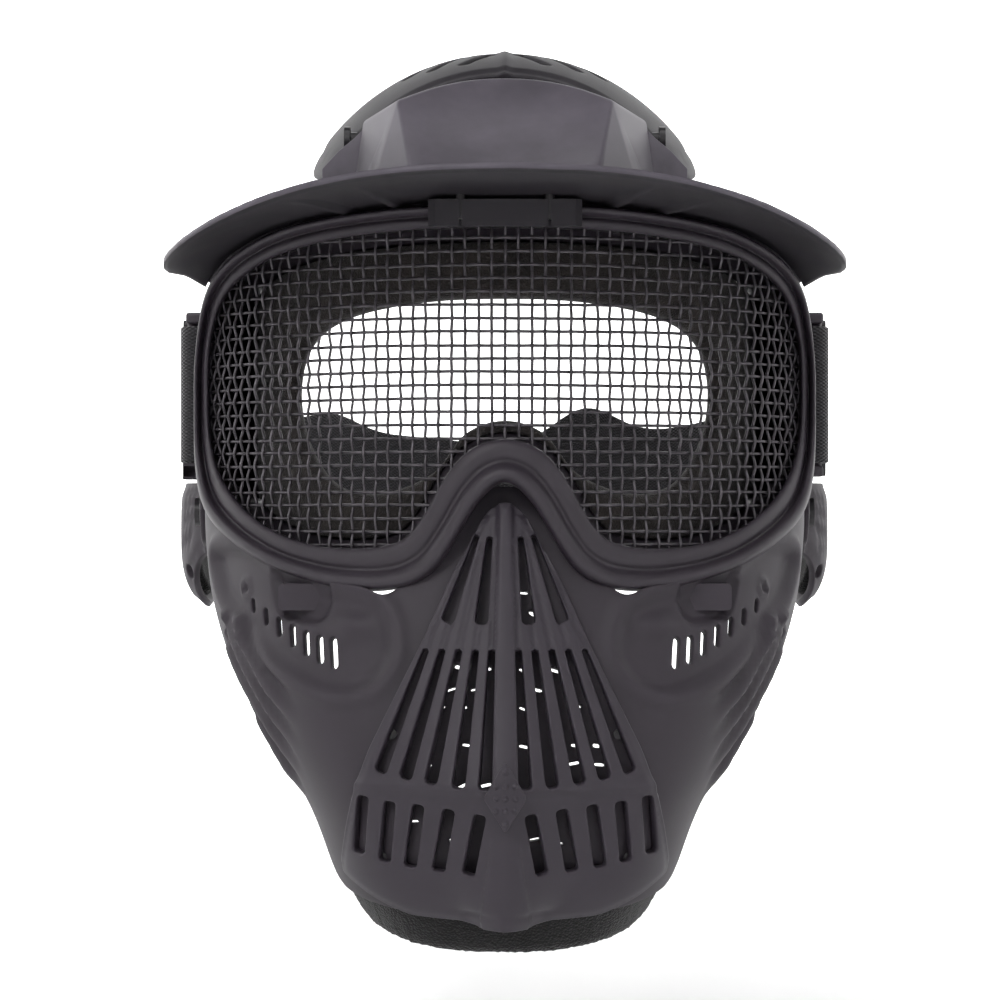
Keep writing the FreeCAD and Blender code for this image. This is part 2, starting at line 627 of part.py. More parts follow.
def crown_guard():
    """The vented guard over the crown of the head."""
    zone = [(-CROWN_HALF, CROWN_FRONT_Y), (CROWN_HALF, CROWN_FRONT_Y), (62, -20), (52, 20), (30, 44),
            (-30, 44), (-52, 20), (-62, -20)]
    corners = [V(x, y, 0) for x, y in zone]
    plan = Part.Face(Part.makePolygon(corners + corners[:1])).extrude(V(0, 0, FAR))
    profile = [(-80, 76), (-80, 130), (60, 130), (60, 106), (20, 88), (-20, 78), (-50, 76)]
    shell = egg(0).cut(egg(-CROWN_T)).common(plan).common(polygon_x(profile, -FAR, FAR))
    slots = []
    for x, y, length in CROWN_SLOTS:
        dx, dy = 0.52, -0.855
        for side in (-1, 1):
            a = V(side * x, y, 60)
            b = V(side * (x + dx * length), y + dy * length, 60)
            ux, uy = side * dx, dy
            w = CROWN_SLOT_W / 2
            pts = [V(a.x - uy * w, a.y + ux * w, 60), V(b.x - uy * w, b.y + ux * w, 60),
                   V(b.x + uy * w, b.y - ux * w, 60), V(a.x + uy * w, a.y - ux * w, 60)]
            slots.append(Part.Face(Part.makePolygon(pts + pts[:1])).extrude(V(0, 0, 100)))
    shell = shell.cut(Part.makeCompound(slots))
    wall = egg(-0.8).common(polygon_x([(-58, 76), (-58, 130), (-55.6, 130), (-55.6, 76)], -FAR, FAR))
    wall = wall.cut(box(-CROWN_PIVOT[0] - 0.6, CROWN_PIVOT[0] + 0.6, -80, -40, 0, 200))
    shell = fuse([shell, wall])
    shell = sorted(shell.Solids, key=lambda s: s.Volume)[-1]
    px, py, pz = CROWN_PIVOT
    arms = []
    for side in (-1, 1):
        x0, x1 = sorted((side * px, side * (px + CROWN_ARM_T)))
        arm = polygon_x([(py - 6.5, pz - 4), (py - 6.5, pz + 4), (py + 4, pz + 14), (py + 26, pz + 16),
                         (py + 20, pz + 2), (py + 6.5, pz - 4), (py, pz - 6.5)], x0, x1)
        arms.append(arm.cut(egg(-CROWN_T).common(box(-FAR, FAR, py + 9, FAR, 0, FAR))))
    whole = fuse([shell] + arms)
    whole = sorted(whole.Solids, key=lambda s: s.Volume)[-1]
    cuts = [rod(CROWN_PIN_R + RUN_CLEAR, (-80, py, pz), (80, py, pz))]
    swing = 7.0              # room above and below the pivot for the hood's bosses as the guard turns
    for side in (-1, 1):
        cuts.append(box(*sorted((side * (px - 6.6), side * px)), py - 9, py, pz - swing, pz + swing))
        cuts.append(rod(CROWN_PIN_R + 2.4, (side * (px + CROWN_ARM_T), py, pz), (side * 90, py, pz)))
        cuts.append(rod(CROWN_PIN_R + 3.2, (side * 30, py, pz), (side * px, py, pz)))
    for cut in cuts:
        whole = whole.cut(cut)
    return sorted(whole.Solids, key=lambda solid: solid.Volume)[-1]


def polygon_x(points, x0, x1):
    corners = [V(x0, y, z) for y, z in points]
    return Part.Face(Part.makePolygon(corners + corners[:1])).extrude(V(x1 - x0, 0, 0))


def crown_pin():
    px, py, pz = CROWN_PIVOT
    return fuse([rod(CROWN_PIN_R, (px - 7, py, pz), (px + CROWN_ARM_T + CLEAR, py, pz)),
                 rod(CROWN_PIN_R + 1.8, (px + CROWN_ARM_T + CLEAR, py, pz), (px + CROWN_ARM_T + 2.2, py, pz)),
                 rod(CROWN_PIN_R + 1.2, (px - 8.2, py, pz), (px - 6 - CLEAR, py, pz))])


# ---------------------------------------------------------------- sides
def ear_egg(grow):
    a, b, c = (v + grow for v in EAR_SEMI)
    ball = Part.makeSphere(1.0)
    m = FreeCAD.Matrix()
    m.scale(a, b, c)
    shape = ball.transformGeometry(m)
    shape.translate(V(*EAR_CENTRE))
    return shape


def ear_guard():
    """The soft cup over the ear with the flange that its rivet goes through."""
    cup = ear_egg(0).cut(ear_egg(-EAR_T))
    flange = box(EAR_BASE_X, EAR_BASE_X + EAR_T, -20, 14, -48, EAR_TOP_Z)
    nose_y = EAR_PIVOT[0] + 2.5
    round_nose = rod(14.5, (EAR_BASE_X, nose_y, -34.5), (EAR_BASE_X + EAR_T, nose_y, -34.5))
    behind = box(90, 110, nose_y, 20, -49, 0)
    flange = flange.common(fuse([round_nose, behind])).cut(ear_egg(-0.5))
    whole = fuse([cup, flange])
    whole = whole.cut(box(0, EAR_BASE_X, -60, EAR_CLEAR_Y, -120, 40))
    whole = whole.common(box(EAR_IN_X, 130, -60, 90, EAR_LOW_Z, EAR_TOP_Z))
    whole = sorted(whole.Solids, key=lambda s: s.Volume)[-1]
    y, z = EAR_PIVOT
    holes = [rod(EAR_RIVET_R + RUN_CLEAR, (80, y, z), (120, y, z)),
             rod(2.4, (88, 16, -52), (118, 0, -57))]
    for k in range(3):
        for j in range(3):
            holes.append(rod(2.2, (80, 24 + 9 * k, -32 - 8.5 * j), (125, 24 + 9 * k, -32 - 8.5 * j)))
    return whole.cut(Part.makeCompound(holes))


def ear_pad():
    """The thin foam lining of the ear guard."""
    pad = ear_egg(-EAR_T - CLEAR).cut(ear_egg(-EAR_T - CLEAR - EAR_PAD_T))
    zone = box(EAR_IN_X + 4, 130, EAR_CLEAR_Y + 2, 62, EAR_LOW_Z + 3, EAR_TOP_Z - 2)
    return sorted(pad.common(zone).Solids, key=lambda s: s.Volume)[-1]


def ear_rivet():
    y, z = EAR_PIVOT
    wall = SHELL_SIDE_X - SHELL_T
    return fuse([rod(EAR_RIVET_R, (wall - 2, y, z), (EAR_BASE_X + EAR_T + CLEAR, y, z)),
                 rod(EAR_RIVET_R + 2.2, (EAR_BASE_X + EAR_T + CLEAR, y, z), (EAR_BASE_X + EAR_T + 2, y, z)),
                 rod(EAR_RIVET_R + 2.0, (wall - 2.2, y, z), (wall - 0.5, y, z))])


def strap_lug():
    """The D-shaped loop on the frame's side that the strap goes round."""
    x, y = ANCHOR
    block = box(88, x + 2.4, y - 4.5, y + 4.5, STRAP_Z - STRAP_W / 2 - 4.5, STRAP_Z + STRAP_W / 2 + 4.5)
    window = box(x - 5.6, 130, y - 20, y + 20, STRAP_Z - STRAP_W / 2 - 0.8, STRAP_Z + STRAP_W / 2 + 0.8)
    bar = rod(ANCHOR_R, (x, y, STRAP_Z - STRAP_W / 2 - 2), (x, y, STRAP_Z + STRAP_W / 2 + 2))
    return fuse([block.cut(window), bar])


def frame_tab():
    """The snap tab under the frame that locks it in the shell's pocket."""
    x, z = TAB_AT
    w, h = TAB_SIZE
    y = LENS_AXIS_Y - math.sqrt((LENS_R + FRAME_FRONT) ** 2 - x * x)
    body = box(x - w / 2, x + w / 2, y - 1.5, y + 11, z - h, z)
    body = body.makeFillet(1.4, [e for e in body.Edges if abs(e.tangentAt(e.FirstParameter).y) > 0.9])
    return body.cut(outline_prism(FRAME_EDGE, 0.02))


def strap_line():
    """Centre line of the strap on the +X side, from its tail round the bar to the middle of the back."""
    x, y = ANCHOR
    r = ANCHOR_R + CLEAR + STRAP_T / 2
    inner = x + r - STRAP_T - CLEAR
    tail = [(inner, TAIL_Y - step) for step in (0, 14, 28, 42)]
    tail += [(inner, y + 19), (inner - 0.25, y + 15), (inner - 2.1, y + 8.5), (x - r + 0.35, y + 3)]
    arc = [(x - r * math.cos(a), y - r * math.sin(a)) for a in (0.25, 0.8, 1.35, 1.9, 2.45, 3.0)]
    run = [(x + r, y + 4 + 9.5 * k) for k in range(0, 9)]
    back = [(x + r - 2.4, run[-1][1] + 12), (91, 74), (74, 88), (50, 98), (25, STRAP_BACK_Y - 1.6),
            (0, STRAP_BACK_Y)]
    return tail + arc + run + back


def strap_drop(y):
    """How far the slack strap hangs down at a distance behind its straight run."""
    s = min(1, max(0, (y - STRAP_LEVEL_Y) / (STRAP_BACK_Y - STRAP_LEVEL_Y)))
    return STRAP_SAG * s * s * (3 - 2 * s)


def back_strap():
    """One band: round the bar on each side, level through the sliders and slack round the back."""
    half = strap_line()
    curve = Part.BSplineCurve()
    curve.interpolate(Points=[V(x, y, 0) for x, y in half])
    edge = curve.toShape()
    spots = []
    count = 300
    for k in range(count + 1):
        t = edge.FirstParameter + (edge.LastParameter - edge.FirstParameter) * k / count
        spots.append((edge.valueAt(t), edge.tangentAt(t)))
    split = max(k for k, (p, d) in enumerate(spots) if p.y < STRAP_LEVEL_Y and d.y > 0)
    low = STRAP_Z - STRAP_W / 2

    def beside(spot, distance):
        p, d = spot
        return V(p.x - d.y * distance, p.y + d.x * distance, low)

    level = [spots[k] for k in range(0, split + 1, 2)]
    ends = [[beside(s, d) for s in level] for d in (-STRAP_T / 2, STRAP_T / 2)]
    side = Part.Face(thin_section(*ends)).extrude(V(0, 0, STRAP_W))
    rear = [spots[k] for k in range(split - split % 2, count, 7)] + [spots[count]]
    rear = [(V(p.x, p.y, -strap_drop(p.y)), d) for p, d in rear]
    rear[-1] = (V(0, rear[-1][0].y, rear[-1][0].z), V(-1, 0, 0))
    rear += [(V(-p.x, p.y, p.z), V(d.x, -d.y, 0)) for p, d in rear[-2::-1]]
    sections = []
    for p, d in rear:
        a, b = (V(p.x - d.y * w, p.y + d.x * w, low + p.z) for w in (-STRAP_T / 2, STRAP_T / 2))
        up = V(0, 0, STRAP_W)
        sections.append(Part.makePolygon([a, b, b + up, a + up, a]))
    back = Part.makeLoft(sections, True, False)
    return fuse([side, back, mirror_x(side)])


def strap_slider():
    """The adjuster that both layers of the strap pass through."""
    x = ANCHOR[0] + ANCHOR_R + CLEAR + STRAP_T / 2
    x_in, x_out = x - 1.5 * STRAP_T - 2 * CLEAR, x + STRAP_T / 2 + CLEAR
    low, high = STRAP_Z - STRAP_W / 2, STRAP_Z + STRAP_W / 2
    y = SLIDER_Y
    half = SLIDER_L / 2
    body = box(x_in - 1.8, x_out + 2.0, y - half, y + half, low - SLIDER_RAIL, high + SLIDER_RAIL)
    body = body.makeFillet(1.6, [e for e in body.Edges if abs(e.tangentAt(e.FirstParameter).x) > 0.9])
    cuts = [box(x_in, x_out, y - 40, y + 40, low - CLEAR, high + CLEAR)]
    gap = (SLIDER_L - 3 * SLIDER_BAR) / 2
    for start in (y - SLIDER_L / 2 + SLIDER_BAR, y + SLIDER_BAR / 2):
        cuts.append(box(x_in - 9, x_out + 9, start, start + gap, low, high))
    return body.cut(Part.makeCompound(cuts))


# ---------------------------------------------------------------- the whole mask
def build():
    shell = face_shell()
    tab = frame_tab()
    pocket = box(tab.BoundBox.XMin - 0.5, tab.BoundBox.XMax + 0.5, -140, -80, tab.BoundBox.ZMin - 0.5,
                 tab.BoundBox.ZMax + 0.5)
    screw_holes = []
    for x, z in GUARD_SCREWS:
        for side in (-1, 1):
            screw_holes.append(rod(SCREW_R + RUN_CLEAR, (side * x, -150, z), (side * x, -80, z)))
    shell = shell.cut(Part.makeCompound([pocket, mirror_x(pocket)] + screw_holes))
    frame = goggle_frame()
    lug = strap_lug().cut(outline_prism(OPENING, REBATE + 0.4))
    half_room = STRAP_W / 2 + 0.8
    room = box(ANCHOR[0] - 5.8, 130, ANCHOR[1] - 4.7, -10, STRAP_Z - half_room, STRAP_Z + half_room)
    frame = frame.cut(Part.makeCompound([room, mirror_x(room)]))
    frame = fuse([frame, lug, mirror_x(lug)])
    brim = visor()
    holes = [rod(SCREW_R + RUN_CLEAR, (side * SCREW_X, SCREW_Y, 40), (side * SCREW_X, SCREW_Y, 90))
             for side in (-1, 1)]
    brim = brim.cut(Part.makeCompound(holes))
    hood = brow_hood()
    hood = hood.cut(brim_room())
    nodes = {
        "goggle_frame": frame,
        "lens_mesh": mesh_lens(),
        "lens_retainer": lens_retainer(),
        "goggle_skirt": goggle_skirt(),
        "face_foam": face_foam(),
        "face_shell": shell,
        "mouth_guard": mouth_guard(),
        "chin_diamond": chin_diamond(),
        "guard_screws": guard_screws(),
        "chin_pad": chin_pad(),
        "visor": brim,
        "visor_bridge": visor_bridge(),
        "visor_screws": visor_screws(),
        "brow_hood": hood,
        "crown_guard": crown_guard(),
        "back_strap": back_strap(),
    }
    pairs = {
        "frame_tab": tab,
        "crown_pin": crown_pin(),
        "ear_guard": ear_guard(),
        "ear_pad": ear_pad(),
        "ear_rivet": ear_rivet(),
        "strap_slider": strap_slider(),
    }
    for name, shape in pairs.items():
        nodes[name + "_right"] = shape
        nodes[name + "_left"] = mirror_x(shape)
    return nodes


if __name__ == "__main__":
    os.makedirs(PARTS, exist_ok=True)
    for name, shape in build().items():
        shape.exportStep(os.path.join(PARTS, name + ".step"))
        print(name, shape.isValid(), len(shape.Solids), round(shape.Volume))
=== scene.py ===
# %% [markdown]
# # A full-face mesh goggle mask
# The mask is a goggle with a woven wire lens, a lower shell with a slotted mouth guard, a sun visor with a
# hood, a vented crown guard, ear guards and a head strap. Each piece is made here in millimetres from its
# own outline, then given the material that the real piece is made of, except that the brim's underside and
# the visor bridge get a darker black as painted shade.

# %% Load the frame
import bmesh
import bpy
import math
import numpy as np
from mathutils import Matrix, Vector, geometry


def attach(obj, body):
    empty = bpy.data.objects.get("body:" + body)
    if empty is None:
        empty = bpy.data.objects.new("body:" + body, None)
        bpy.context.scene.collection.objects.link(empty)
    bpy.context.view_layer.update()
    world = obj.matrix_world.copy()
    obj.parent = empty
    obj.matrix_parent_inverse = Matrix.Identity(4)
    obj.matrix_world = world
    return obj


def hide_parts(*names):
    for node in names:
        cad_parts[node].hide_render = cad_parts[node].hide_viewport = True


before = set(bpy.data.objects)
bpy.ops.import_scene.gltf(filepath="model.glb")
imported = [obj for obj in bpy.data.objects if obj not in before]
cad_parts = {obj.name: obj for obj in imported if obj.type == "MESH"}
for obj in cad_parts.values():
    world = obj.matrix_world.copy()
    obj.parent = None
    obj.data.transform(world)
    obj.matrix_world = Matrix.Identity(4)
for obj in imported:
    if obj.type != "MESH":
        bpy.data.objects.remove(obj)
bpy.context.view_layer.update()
MM = 0.001

# %% [markdown]
# ## Outlines and moulded sheets
# Nearly every piece is a moulded sheet: a flat outline with holes, bent over a surface, given a thickness
# and rounded along every edge. So a piece needs an outline, a surface and a thickness, and nothing else.


# %% Smooth outlines
def rounded(points, count, closed=True):
    """Evenly spaced points on a smooth line through the given ones."""
    p = np.array(points, float)
    n = len(p)
    spans = n if closed else n - 1
    out = []
    for k in range(spans):
        if closed:
            a, b, c, d = p[(k - 1) % n], p[k], p[(k + 1) % n], p[(k + 2) % n]
        else:
            a, b, c, d = p[max(k - 1, 0)], p[k], p[k + 1], p[min(k + 2, n - 1)]
        for t in np.linspace(0, 1, 24, endpoint=False):
            out.append(0.5 * (2 * b + (c - a) * t + (2 * a - 5 * b + 4 * c - d) * t ** 2
                              + (3 * b - a - 3 * c + d) * t ** 3))
    if not closed:
        out.append(p[-1])
    return evenly(np.array(out), count, closed)


def evenly(line, count, closed=True):
    """The same line with evenly spaced points."""
    line = np.array(line, float)
    if closed:
        line = np.vstack([line, line[:1]])
    far = np.concatenate([[0], np.cumsum(np.linalg.norm(np.diff(line, axis=0), axis=1))])
    at = np.linspace(0, far[-1], count + 1)[:-1] if closed else np.linspace(0, far[-1], count)
    return np.stack([np.interp(at, far, line[:, k]) for k in range(line.shape[1])], axis=1)


def both_halves(half):
    """A closed outline from its half with x >= 0, which starts and ends on the middle."""
    return list(half) + [(-x, z) for x, z in reversed(half[1:-1])]


def outward(loop):
    """Unit normals that point out of a loop that runs anticlockwise."""
    along = np.roll(loop, -1, axis=0) - np.roll(loop, 1, axis=0)
    along /= np.linalg.norm(along, axis=1)[:, None] + 1e-12
    return np.stack([along[:, 1], -along[:, 0]], axis=1)


def grown(loop, distance):
    return loop + outward(loop) * distance


def anticlockwise(loop):
    loop = np.array(loop, float)
    x, y = loop[:, 0], loop[:, 1]
    area = np.sum(x * np.roll(y, -1) - np.roll(x, -1) * y)
    return loop if area > 0 else loop[::-1].copy()


def inside(points, loop):
    """Which of the points lie in the loop."""
    x, y = points[:, 0][:, None], points[:, 1][:, None]
    x0, y0 = loop[:, 0][None], loop[:, 1][None]
    x1, y1 = np.roll(loop[:, 0], -1)[None], np.roll(loop[:, 1], -1)[None]
    crossing = ((y0 > y) != (y1 > y)) & (x < (x1 - x0) * (y - y0) / (y1 - y0 + 1e-12) + x0)
    return crossing.sum(axis=1) % 2 == 1


def distance_to(points, line, closed=False):
    """Distance of each point from a line of points."""
    a = line if closed else line[:-1]
    b = np.roll(line, -1, axis=0) if closed else line[1:]
    ab = b - a
    size = (ab ** 2).sum(axis=1) + 1e-12
    t = np.clip(((points[:, None] - a[None]) * ab[None]).sum(axis=2) / size, 0, 1)
    return np.sqrt((((a[None] + ab[None] * t[..., None]) - points[:, None]) ** 2).sum(axis=2)).min(axis=1)


def smooth_step(value, low, high):
    t = np.clip((value - low) / (high - low), 0, 1)
    return t * t * (3 - 2 * t)


def slot_hole(start, end, width, width_end=None, count=40, corner=0.35):
    """The outline of a slot with rounded corners between two middles."""
    a, b = np.array(start, float), np.array(end, float)
    u = (b - a) / np.linalg.norm(b - a)
    n = np.array([u[1], -u[0]])
    wa, wb = width / 2, (width_end or width) / 2
    line = []
    for base, w, away in ((a, wa, -u), (b, wb, u)):
        r = min(corner * 2 * w, w * 0.98)
        corners = []
        for side in (-1, 1):
            mid = base + n * side * (w - r) - away * r
            corners.append([mid + r * (n * side * math.sin(t) + away * math.cos(t))
                            for t in np.linspace(0, math.pi / 2, 6)])
        if away is u:
            line += corners[1][::-1] + corners[0]
        else:
            line += corners[0][::-1] + corners[1]
    return anticlockwise(evenly(np.array(line), count))


# %% Moulded sheets
def moulded(name, outer, holes, surface, thick, edge=0.6, grid=3.0, lift=None):
    """A sheet over the surface, with its outline, its holes and an edge of that rounding radius.

    surface turns flat points (n, 2) into places (n, 3) in millimetres; lift(flat points) raises its front."""
    outer = anticlockwise(outer)
    holes = [anticlockwise(h) for h in holes]
    rims = [grown(outer, -edge)] + [grown(h, edge) for h in holes]
    true = [outer] + holes
    low, high = outer.min(axis=0), outer.max(axis=0)
    gx, gy = np.meshgrid(np.arange(low[0], high[0], grid), np.arange(low[1], high[1], grid))
    gx = gx + (np.arange(gx.shape[0])[:, None] % 2) * grid / 2
    field = np.stack([gx.ravel(), gy.ravel()], axis=1)
    field = field[inside(field, rims[0])]
    for h in rims[1:]:
        field = field[~inside(field, h)]
    for r in rims:
        near = (field > r.min(axis=0) - grid).all(axis=1) & (field < r.max(axis=0) + grid).all(axis=1)
        keep = np.ones(len(field), bool)
        keep[near] = distance_to(field[near], r, True) > grid * 0.4
        field = field[keep]
    flat = np.vstack(rims + [field])
    edges, at = [], 0
    for r in rims:
        edges += [(at + k, at + (k + 1) % len(r)) for k in range(len(r))]
        at += len(r)
    verts, _, faces, source, _, _ = geometry.delaunay_2d_cdt([Vector(p) for p in flat], edges, [], 0, 1e-6)
    verts = np.array([tuple(v) for v in verts])
    place = {}
    for k, names in enumerate(source):
        for s in names:
            place[s] = k
    faces = np.array([f for f in faces if len(f) == 3])
    middle = verts[faces].mean(axis=1)
    good = inside(middle, rims[0])
    for r in rims[1:]:
        good &= ~inside(middle, r)
    faces = faces[good]

    def at_depth(points, depth):
        """Places on the sheet at a depth under its front."""
        step = 0.05
        p = surface(points)
        du = surface(points + [step, 0]) - p
        dv = surface(points + [0, step]) - p
        n = np.cross(du, dv)
        n /= np.linalg.norm(n, axis=1)[:, None] + 1e-12
        raised = lift(points) if lift is not None else 0
        return p + n * (raised - depth)[:, None]

    ones = np.ones(len(verts))
    front = at_depth(verts, 0 * ones)
    back = at_depth(verts, thick * ones)
    bm = bmesh.new()
    front_v = [bm.verts.new(p * MM) for p in front]
    back_v = [bm.verts.new(p * MM) for p in back]
    for a, b, c in faces:
        bm.faces.new((front_v[a], front_v[b], front_v[c]))
        bm.faces.new((back_v[c], back_v[b], back_v[a]))
    start = 0
    steps = [(edge - edge * math.sin(t), edge - edge * math.cos(t))
             for t in np.linspace(0, math.pi / 2, 4)[1:]]
    steps += [(0, thick - edge * 0.5), (edge * 0.5, thick)]
    for which, (rim, line) in enumerate(zip(rims, true)):
        count = len(rim)
        inward = -1 if which == 0 else 1
        rows = [[front_v[place[start + k]] for k in range(count)]]
        for back_off, depth in steps[:-1]:
            spots = at_depth(grown(line, inward * back_off), depth * np.ones(count))
            rows.append([bm.verts.new(p * MM) for p in spots])
        rows.append([back_v[place[start + k]] for k in range(count)])
        for upper, lower in zip(rows, rows[1:]):
            for k in range(count):
                j = (k + 1) % count
                quad = (upper[j], upper[k], lower[k], lower[j])
                if which:
                    quad = quad[::-1]
                if len(set(quad)) == 4:
                    try:
                        bm.faces.new(quad)
                    except ValueError:
                        pass
        start += count
    bm.normal_update()
    bmesh.ops.recalc_face_normals(bm, faces=bm.faces)
    return finished(name, bm)


def finished(name, bm, smooth=True):
    """The bmesh as an object in the scene, without loose points."""
    mesh = bpy.data.meshes.new(name)
    loose = [v for v in bm.verts if not v.link_faces]
    bmesh.ops.delete(bm, geom=loose, context="VERTS")
    bm.to_mesh(mesh)
    bm.free()
    for polygon in mesh.polygons:
        polygon.use_smooth = smooth
    obj = bpy.data.objects.new(name, mesh)
    bpy.context.scene.collection.objects.link(obj)
    return obj


def ring_of_rows(name, rows, closed_loop=True):
    """A closed surface round through rows of places; rows that aren't loops get a cap over each end."""
    bm = bmesh.new()
    made = [[bm.verts.new(np.array(p) * MM) for p in row] for row in rows]
    for a, b in zip(made, made[1:] + made[:1]):
        count = len(a)
        for k in range(count if closed_loop else count - 1):
            j = (k + 1) % count
            bm.faces.new((a[k], a[j], b[j], b[k]))
    if not closed_loop:
        bm.faces.new([row[0] for row in made])
        bm.faces.new([row[-1] for row in made][::-1])
    bmesh.ops.recalc_face_normals(bm, faces=bm.faces)
    return finished(name, bm)


# %% [markdown]
# ## Materials
# Every colour is near black, so what tells the pieces apart is the surface: moulded texture, weave, pores.


# %% Material tools
def colour(hex_code):
    """sRGB hex to linear."""
    values = [int(hex_code[k:k + 2], 16) / 255 for k in (1, 3, 5)]
    return [v / 12.92 if v <= 0.04045 else ((v + 0.055) / 1.055) ** 2.4 for v in values] + [1.0]


class Maker:
    """A material with its own node tree; add() makes a node, sets it and links its inputs."""

    def __init__(self, name):
        self.material = bpy.data.materials.new(name)
        self.material.use_nodes = True
        self.tree = self.material.node_tree
        self.tree.nodes.clear()
        self.output = self.add("ShaderNodeOutputMaterial")
        self.shader = self.add("ShaderNodeBsdfPrincipled")
        self.tree.links.new(self.shader.outputs[0], self.output.inputs["Surface"])

    def add(self, kind, settings=None, **inputs):
        node = self.tree.nodes.new(kind)
        for key, value in (settings or {}).items():
            setattr(node, key, value)
        for key, value in inputs.items():
            self.put(node, key, value)
        return node

    def put(self, node, key, value):
        key = key.replace("_", " ")
        socket = node.inputs[int(key)] if key.isdigit() else node.inputs[key]
        if isinstance(value, bpy.types.NodeSocket):
            self.tree.links.new(value, socket)
        elif isinstance(value, bpy.types.Node):
            self.tree.links.new(value.outputs[0], socket)
        else:
            socket.default_value = value

    def ramp(self, factor, stops):
        node = self.add("ShaderNodeValToRGB", Fac=factor)
        ramp = node.color_ramp
        while len(ramp.elements) < len(stops):
            ramp.elements.new(0.5)
        for element, (where, what) in zip(ramp.elements, stops):
            element.position = where
            element.color = what if isinstance(what, (list, tuple)) else (what, what, what, 1)
        return node


def moulded_plastic(name, dark, light, rough=0.5, grain_mm=0.35, bump=0.12, wear=0.25, mottling=0.3):
    """Injection-moulded matt plastic: a spark-eroded texture, faint flow marks and paler rubbed edges."""
    m = Maker(name)
    place = m.add("ShaderNodeTexCoord").outputs["Object"]
    grain = m.add("ShaderNodeTexNoise", Vector=place, Scale=1 / (grain_mm * MM), Detail=3.0, Roughness=0.6)
    cloud = m.add("ShaderNodeTexNoise", Vector=place, Scale=38.0, Detail=4.0, Roughness=0.62)
    edge = m.add("ShaderNodeNewGeometry").outputs["Pointiness"]
    rubbed = m.ramp(edge, [(0.505, 0.0), (0.56, 1.0)])
    soft = m.ramp(cloud.outputs["Fac"], [(0.35, 0.0), (0.72, 1.0)])
    amount = m.add("ShaderNodeMath", {"operation": "MULTIPLY"})
    m.put(amount, "0", soft)
    m.put(amount, "1", mottling)
    base = m.add("ShaderNodeMix", {"data_type": "RGBA"})
    m.put(base, "0", amount)
    base.inputs[6].default_value = colour(dark)
    base.inputs[7].default_value = colour(light)
    rub = m.add("ShaderNodeMath", {"operation": "MULTIPLY"})
    m.put(rub, "0", rubbed)
    m.put(rub, "1", wear)
    worn = m.add("ShaderNodeMix", {"data_type": "RGBA"})
    m.put(worn, "0", rub)
    m.tree.links.new(base.outputs[2], worn.inputs[6])
    worn.inputs[7].default_value = colour(light)
    m.tree.links.new(worn.outputs[2], m.shader.inputs["Base Color"])
    roughness = m.add("ShaderNodeMapRange", Value=cloud.outputs["Fac"])
    roughness.inputs["To Min"].default_value = rough - 0.06
    roughness.inputs["To Max"].default_value = rough + 0.08
    m.put(m.shader, "Roughness", roughness)
    m.shader.inputs["IOR"].default_value = 1.5
    m.shader.inputs["Specular IOR Level"].default_value = 0.32
    lumps = m.add("ShaderNodeBump", Strength=bump, Distance=0.0002, Height=grain.outputs["Fac"])
    m.put(m.shader, "Normal", lumps)
    return m.material


def foam_material(name, dark, light, pore_mm=0.7, rough=0.95, bump=0.9):
    """Open-cell polyurethane foam: pores, a dusty nap and no shine."""
    m = Maker(name)
    place = m.add("ShaderNodeTexCoord").outputs["Object"]
    pores = m.add("ShaderNodeTexVoronoi", Vector=place, Scale=1 / (pore_mm * MM))
    dust = m.add("ShaderNodeTexNoise", Vector=place, Scale=140.0, Detail=5.0)
    tone = m.ramp(dust.outputs["Fac"], [(0.3, colour(dark)), (0.75, colour(light))])
    m.put(m.shader, "Base Color", tone)
    m.put(m.shader, "Roughness", rough)
    m.put(m.shader, "Sheen Weight", 0.12)
    m.put(m.shader, "Sheen Roughness", 0.6)
    m.put(m.shader, "Specular IOR Level", 0.25)
    dents = m.add("ShaderNodeBump", Strength=bump, Distance=0.0005, Height=pores.outputs["Distance"])
    m.put(m.shader, "Normal", dents)
    return m.material


def webbing_material(name, dark, light, rib_mm=1.6):
    """Woven polyester elastic: ribs across the band, fine ends along it and a dry sheen."""
    m = Maker(name)
    place = m.add("ShaderNodeTexCoord").outputs["UV"]
    split = m.add("ShaderNodeSeparateXYZ", Vector=place)

    def wave(socket, pitch):
        scaled = m.add("ShaderNodeMath", {"operation": "MULTIPLY"})
        m.put(scaled, "0", socket)
        m.put(scaled, "1", 2 * math.pi / (pitch * MM))
        return m.add("ShaderNodeMath", {"operation": "SINE"}, **{"0": scaled})

    across, along = wave(split.outputs[0], rib_mm), wave(split.outputs[1], rib_mm * 0.7)
    weave = m.add("ShaderNodeMath", {"operation": "MULTIPLY"})
    m.put(weave, "0", across)
    m.put(weave, "1", along)
    body = m.add("ShaderNodeTexCoord").outputs["Object"]
    fuzz = m.add("ShaderNodeTexNoise", Vector=body, Scale=1500.0, Detail=2.0)
    both = m.add("ShaderNodeMath", {"operation": "ADD"})
    m.put(both, "0", weave)
    m.put(both, "1", fuzz.outputs["Fac"])
    tone = m.ramp(both, [(0.0, colour(dark)), (1.0, colour(light))])
    m.put(m.shader, "Base Color", tone)
    m.put(m.shader, "Roughness", 0.88)
    m.put(m.shader, "Sheen Weight", 0.3)
    m.put(m.shader, "Specular IOR Level", 0.3)
    m.put(m.shader, "Normal", m.add("ShaderNodeBump", Strength=0.6, Distance=0.0003, Height=both))
    return m.material


